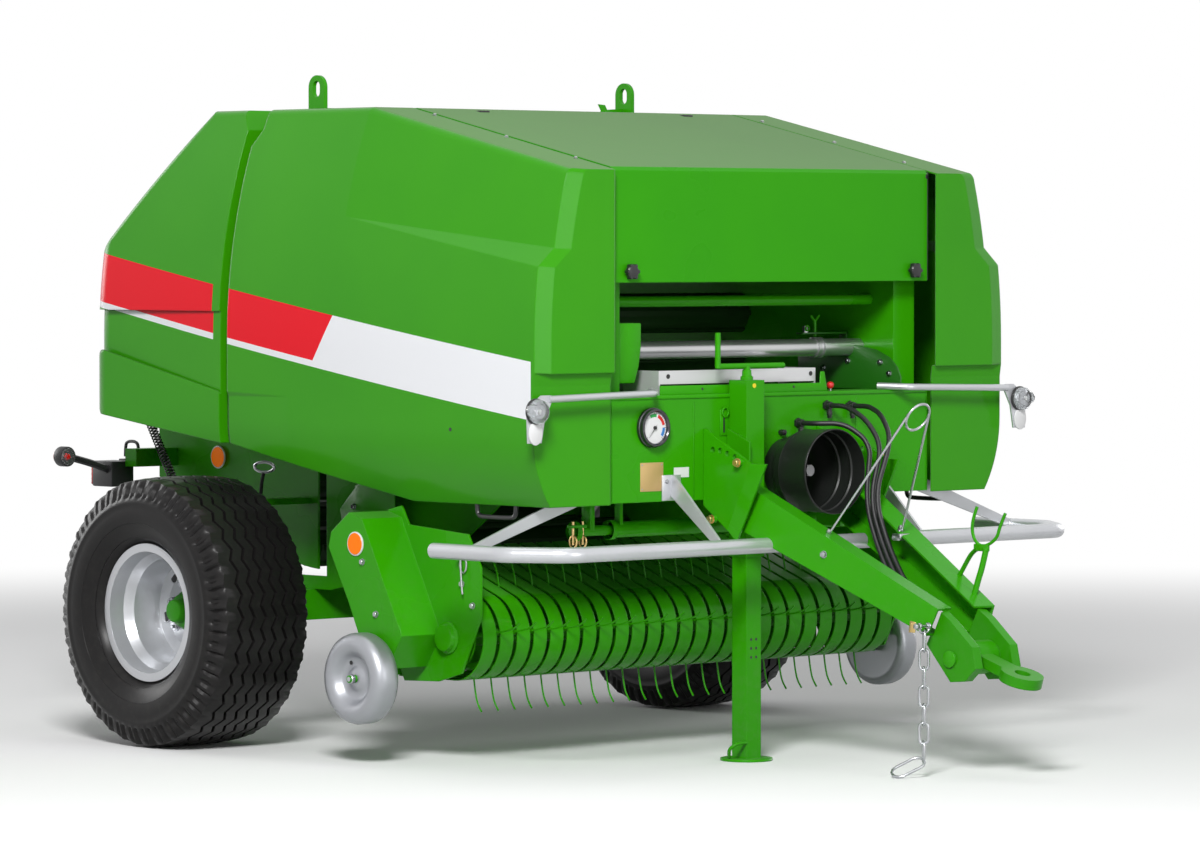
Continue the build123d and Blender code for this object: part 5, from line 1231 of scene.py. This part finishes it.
def buildLinchPins():
    # tube bracket under the box, with linch pins in its end
    y, z = axleY + pinTube["y"], pinTube["z"]
    bm = bmesh.new()
    for x in pinTube["ends"]:
        addSpun(bm, [(0, 0.029), (0.002, 0.031), (0.018, 0.031), (0.020, 0.029), (0.020, 0.0)], (x, y, z),
                xAxis, 32)
    addRod(bm, (pinTube["ends"][0], y, z), (pinTube["toX"], y, z), pinTube["radius"])
    addBox(bm, (-0.672, y - 0.020, 0.735), (-0.652, y + 0.020, 0.8197), 0.002)
    for x in pinTube["pins"]:
        addLoop(bm, (x, y - 0.022, 0.700), (0, 0.017, 0), (0, 0, 0.020), 0.0028, 1)
        addRod(bm, (x, y - 0.022, 0.762), (x, y - 0.022, 0.690), 0.004, segments=12, mat=1)
    addBox(bm, (-0.760, y - 0.028, 0.742), (-0.690, y - 0.010, 0.752), 0.002)
    finishPiece(bm, "linchPins", "chassis", ["greenPaint", "yellowZinc"])


# Small things on the roof and covers

roof = {
    "hookY": -0.153,
    "hook": ((0.560, 2.0502), (0.672, 2.0502), (0.672, 2.078), (0.600, 2.074), (0.590, 2.090), (0.560, 2.092),
             (0.574, 2.070)),
    "pad": ((0.640, -0.203, 2.0502), (0.674, -0.103, 2.058)),
}
coverScrews = {  # they sit on the slope of the cover's shoulder
    "x": 0.724, "topY": -0.655, "topZ": 2.050, "footY": -1.574, "footZ": 1.851,
    "screws": (-0.78, -1.12, -1.44), "hole": (1.0291, -1.203, 1.047),
}


def buildRoofFittings():
    hookY = axleY + roof["hookY"]
    bm = bmesh.new()
    addPlate(bm, [(x, hookY, z) for x, z in roof["hook"]], 0.006, yAxis, 0, 0.001)
    for side in (-1, 1):
        low, high = roof["pad"]
        addSideBox(bm, side, fromAxle(low), fromAxle(high), 0.002)
    finishPiece(bm, "roofFittings", "chassis", ["greenPaint"])


def buildCoverScrews(sideName, side):
    fall = (coverScrews["topZ"] - coverScrews["footZ"]) / (coverScrews["topY"] - coverScrews["footY"])
    bm = bmesh.new()
    for y in coverScrews["screws"]:
        z = coverScrews["topZ"] + (y - coverScrews["topY"]) * fall
        addBolt(bm, fromAxle((coverScrews["x"], y, z), side), (0, -fall, 1), 0.0062, 0.0035, mat=1)
    # a black disc paints the shade inside the hole in the cover
    addSpun(bm, [(0, 0.006), (0.0006, 0.006), (0.0009, 0)], fromAxle(coverScrews["hole"], side),
            (side, 0, 0), 20)
    finishPiece(bm, "coverScrews_" + sideName, "side_cover_" + sideName, ["flatBlackAndHoleShade", "zincSteel"])


# CAD nodes keep their shape and take a finish

nodeFinish = {
    "coverPaint": ["cover_left", "cover_right", "gate_cover_left", "gate_cover_right"],
    "greenPaint": ["side_walls", "gate_walls", "front_box", "drawbar_beams", "drawbar_brackets",
                   "cross_members", "gate_frame", "lift_lugs", "pickup_bands", "pickup_frame", "stand_tube",
                   "stand_leg", "axle_beam", "pickup_reel"],
    "rollerPaint": ["front_rollers", "gate_rollers"],
    "hoodPaint": ["hood", "roof_panel"],
    "castPaint": ["tow_hitch", "gearbox"],
    "silverPaint": ["guard_rail", "lamp_arms", "rim_left", "rim_right", "gauge_wheel_left",
                    "gauge_wheel_right"],
    "groundSteel": ["net_roller", "pto_shaft"],
    "traySheet": ["net_tray"],
    "blackPlastic": ["pto_guard", "rear_lamps", "hose_ends"],
    "whitePlastic": ["front_lamps", "pressure_gauge"],
    "zincSteel": ["safety_chain", "shaft_rest"],
    "hoseRubber": ["hoses"],
    "tyreRubber": ["tyre_left", "tyre_right"],
}


def paintNodes():
    for finish, nodes in nodeFinish.items():
        for node in nodes:
            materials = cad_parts[node].data.materials
            materials.clear()
            materials.append(finishes[finish])


scene.view_settings.view_transform = "Standard"
buildCamera()
buildWorld()
buildLamps()
buildFloor()
makeMaterials()
paintNodes()
print("stage and finishes done")
for sideName, side in bothSides:
    buildTyre(sideName)
    buildHub(sideName, side)
    buildRimDetails(sideName, side)
    buildGaugeWheel(sideName, side)
buildReel()
print("running gear done")
buildFrontLamps()
buildRearLamps()
buildReflectors()
buildGauge()
print("lamps and gauge done")
buildGuard()
buildHoseEnds()
buildChain()
buildHoseFork()
print("drawbar fittings done")
buildHoodFittings()
buildNetBay()
buildGateSprings()
buildBoxFittings()
buildDrawbarBolts()
buildStandFittings()
buildSideSheets()
buildPickupBolts()
buildLinchPins()
buildRoofFittings()
for sideName, side in bothSides:
    buildCoverHandle(sideName, side)
    buildCoverScrews(sideName, side)
print("small fittings done")
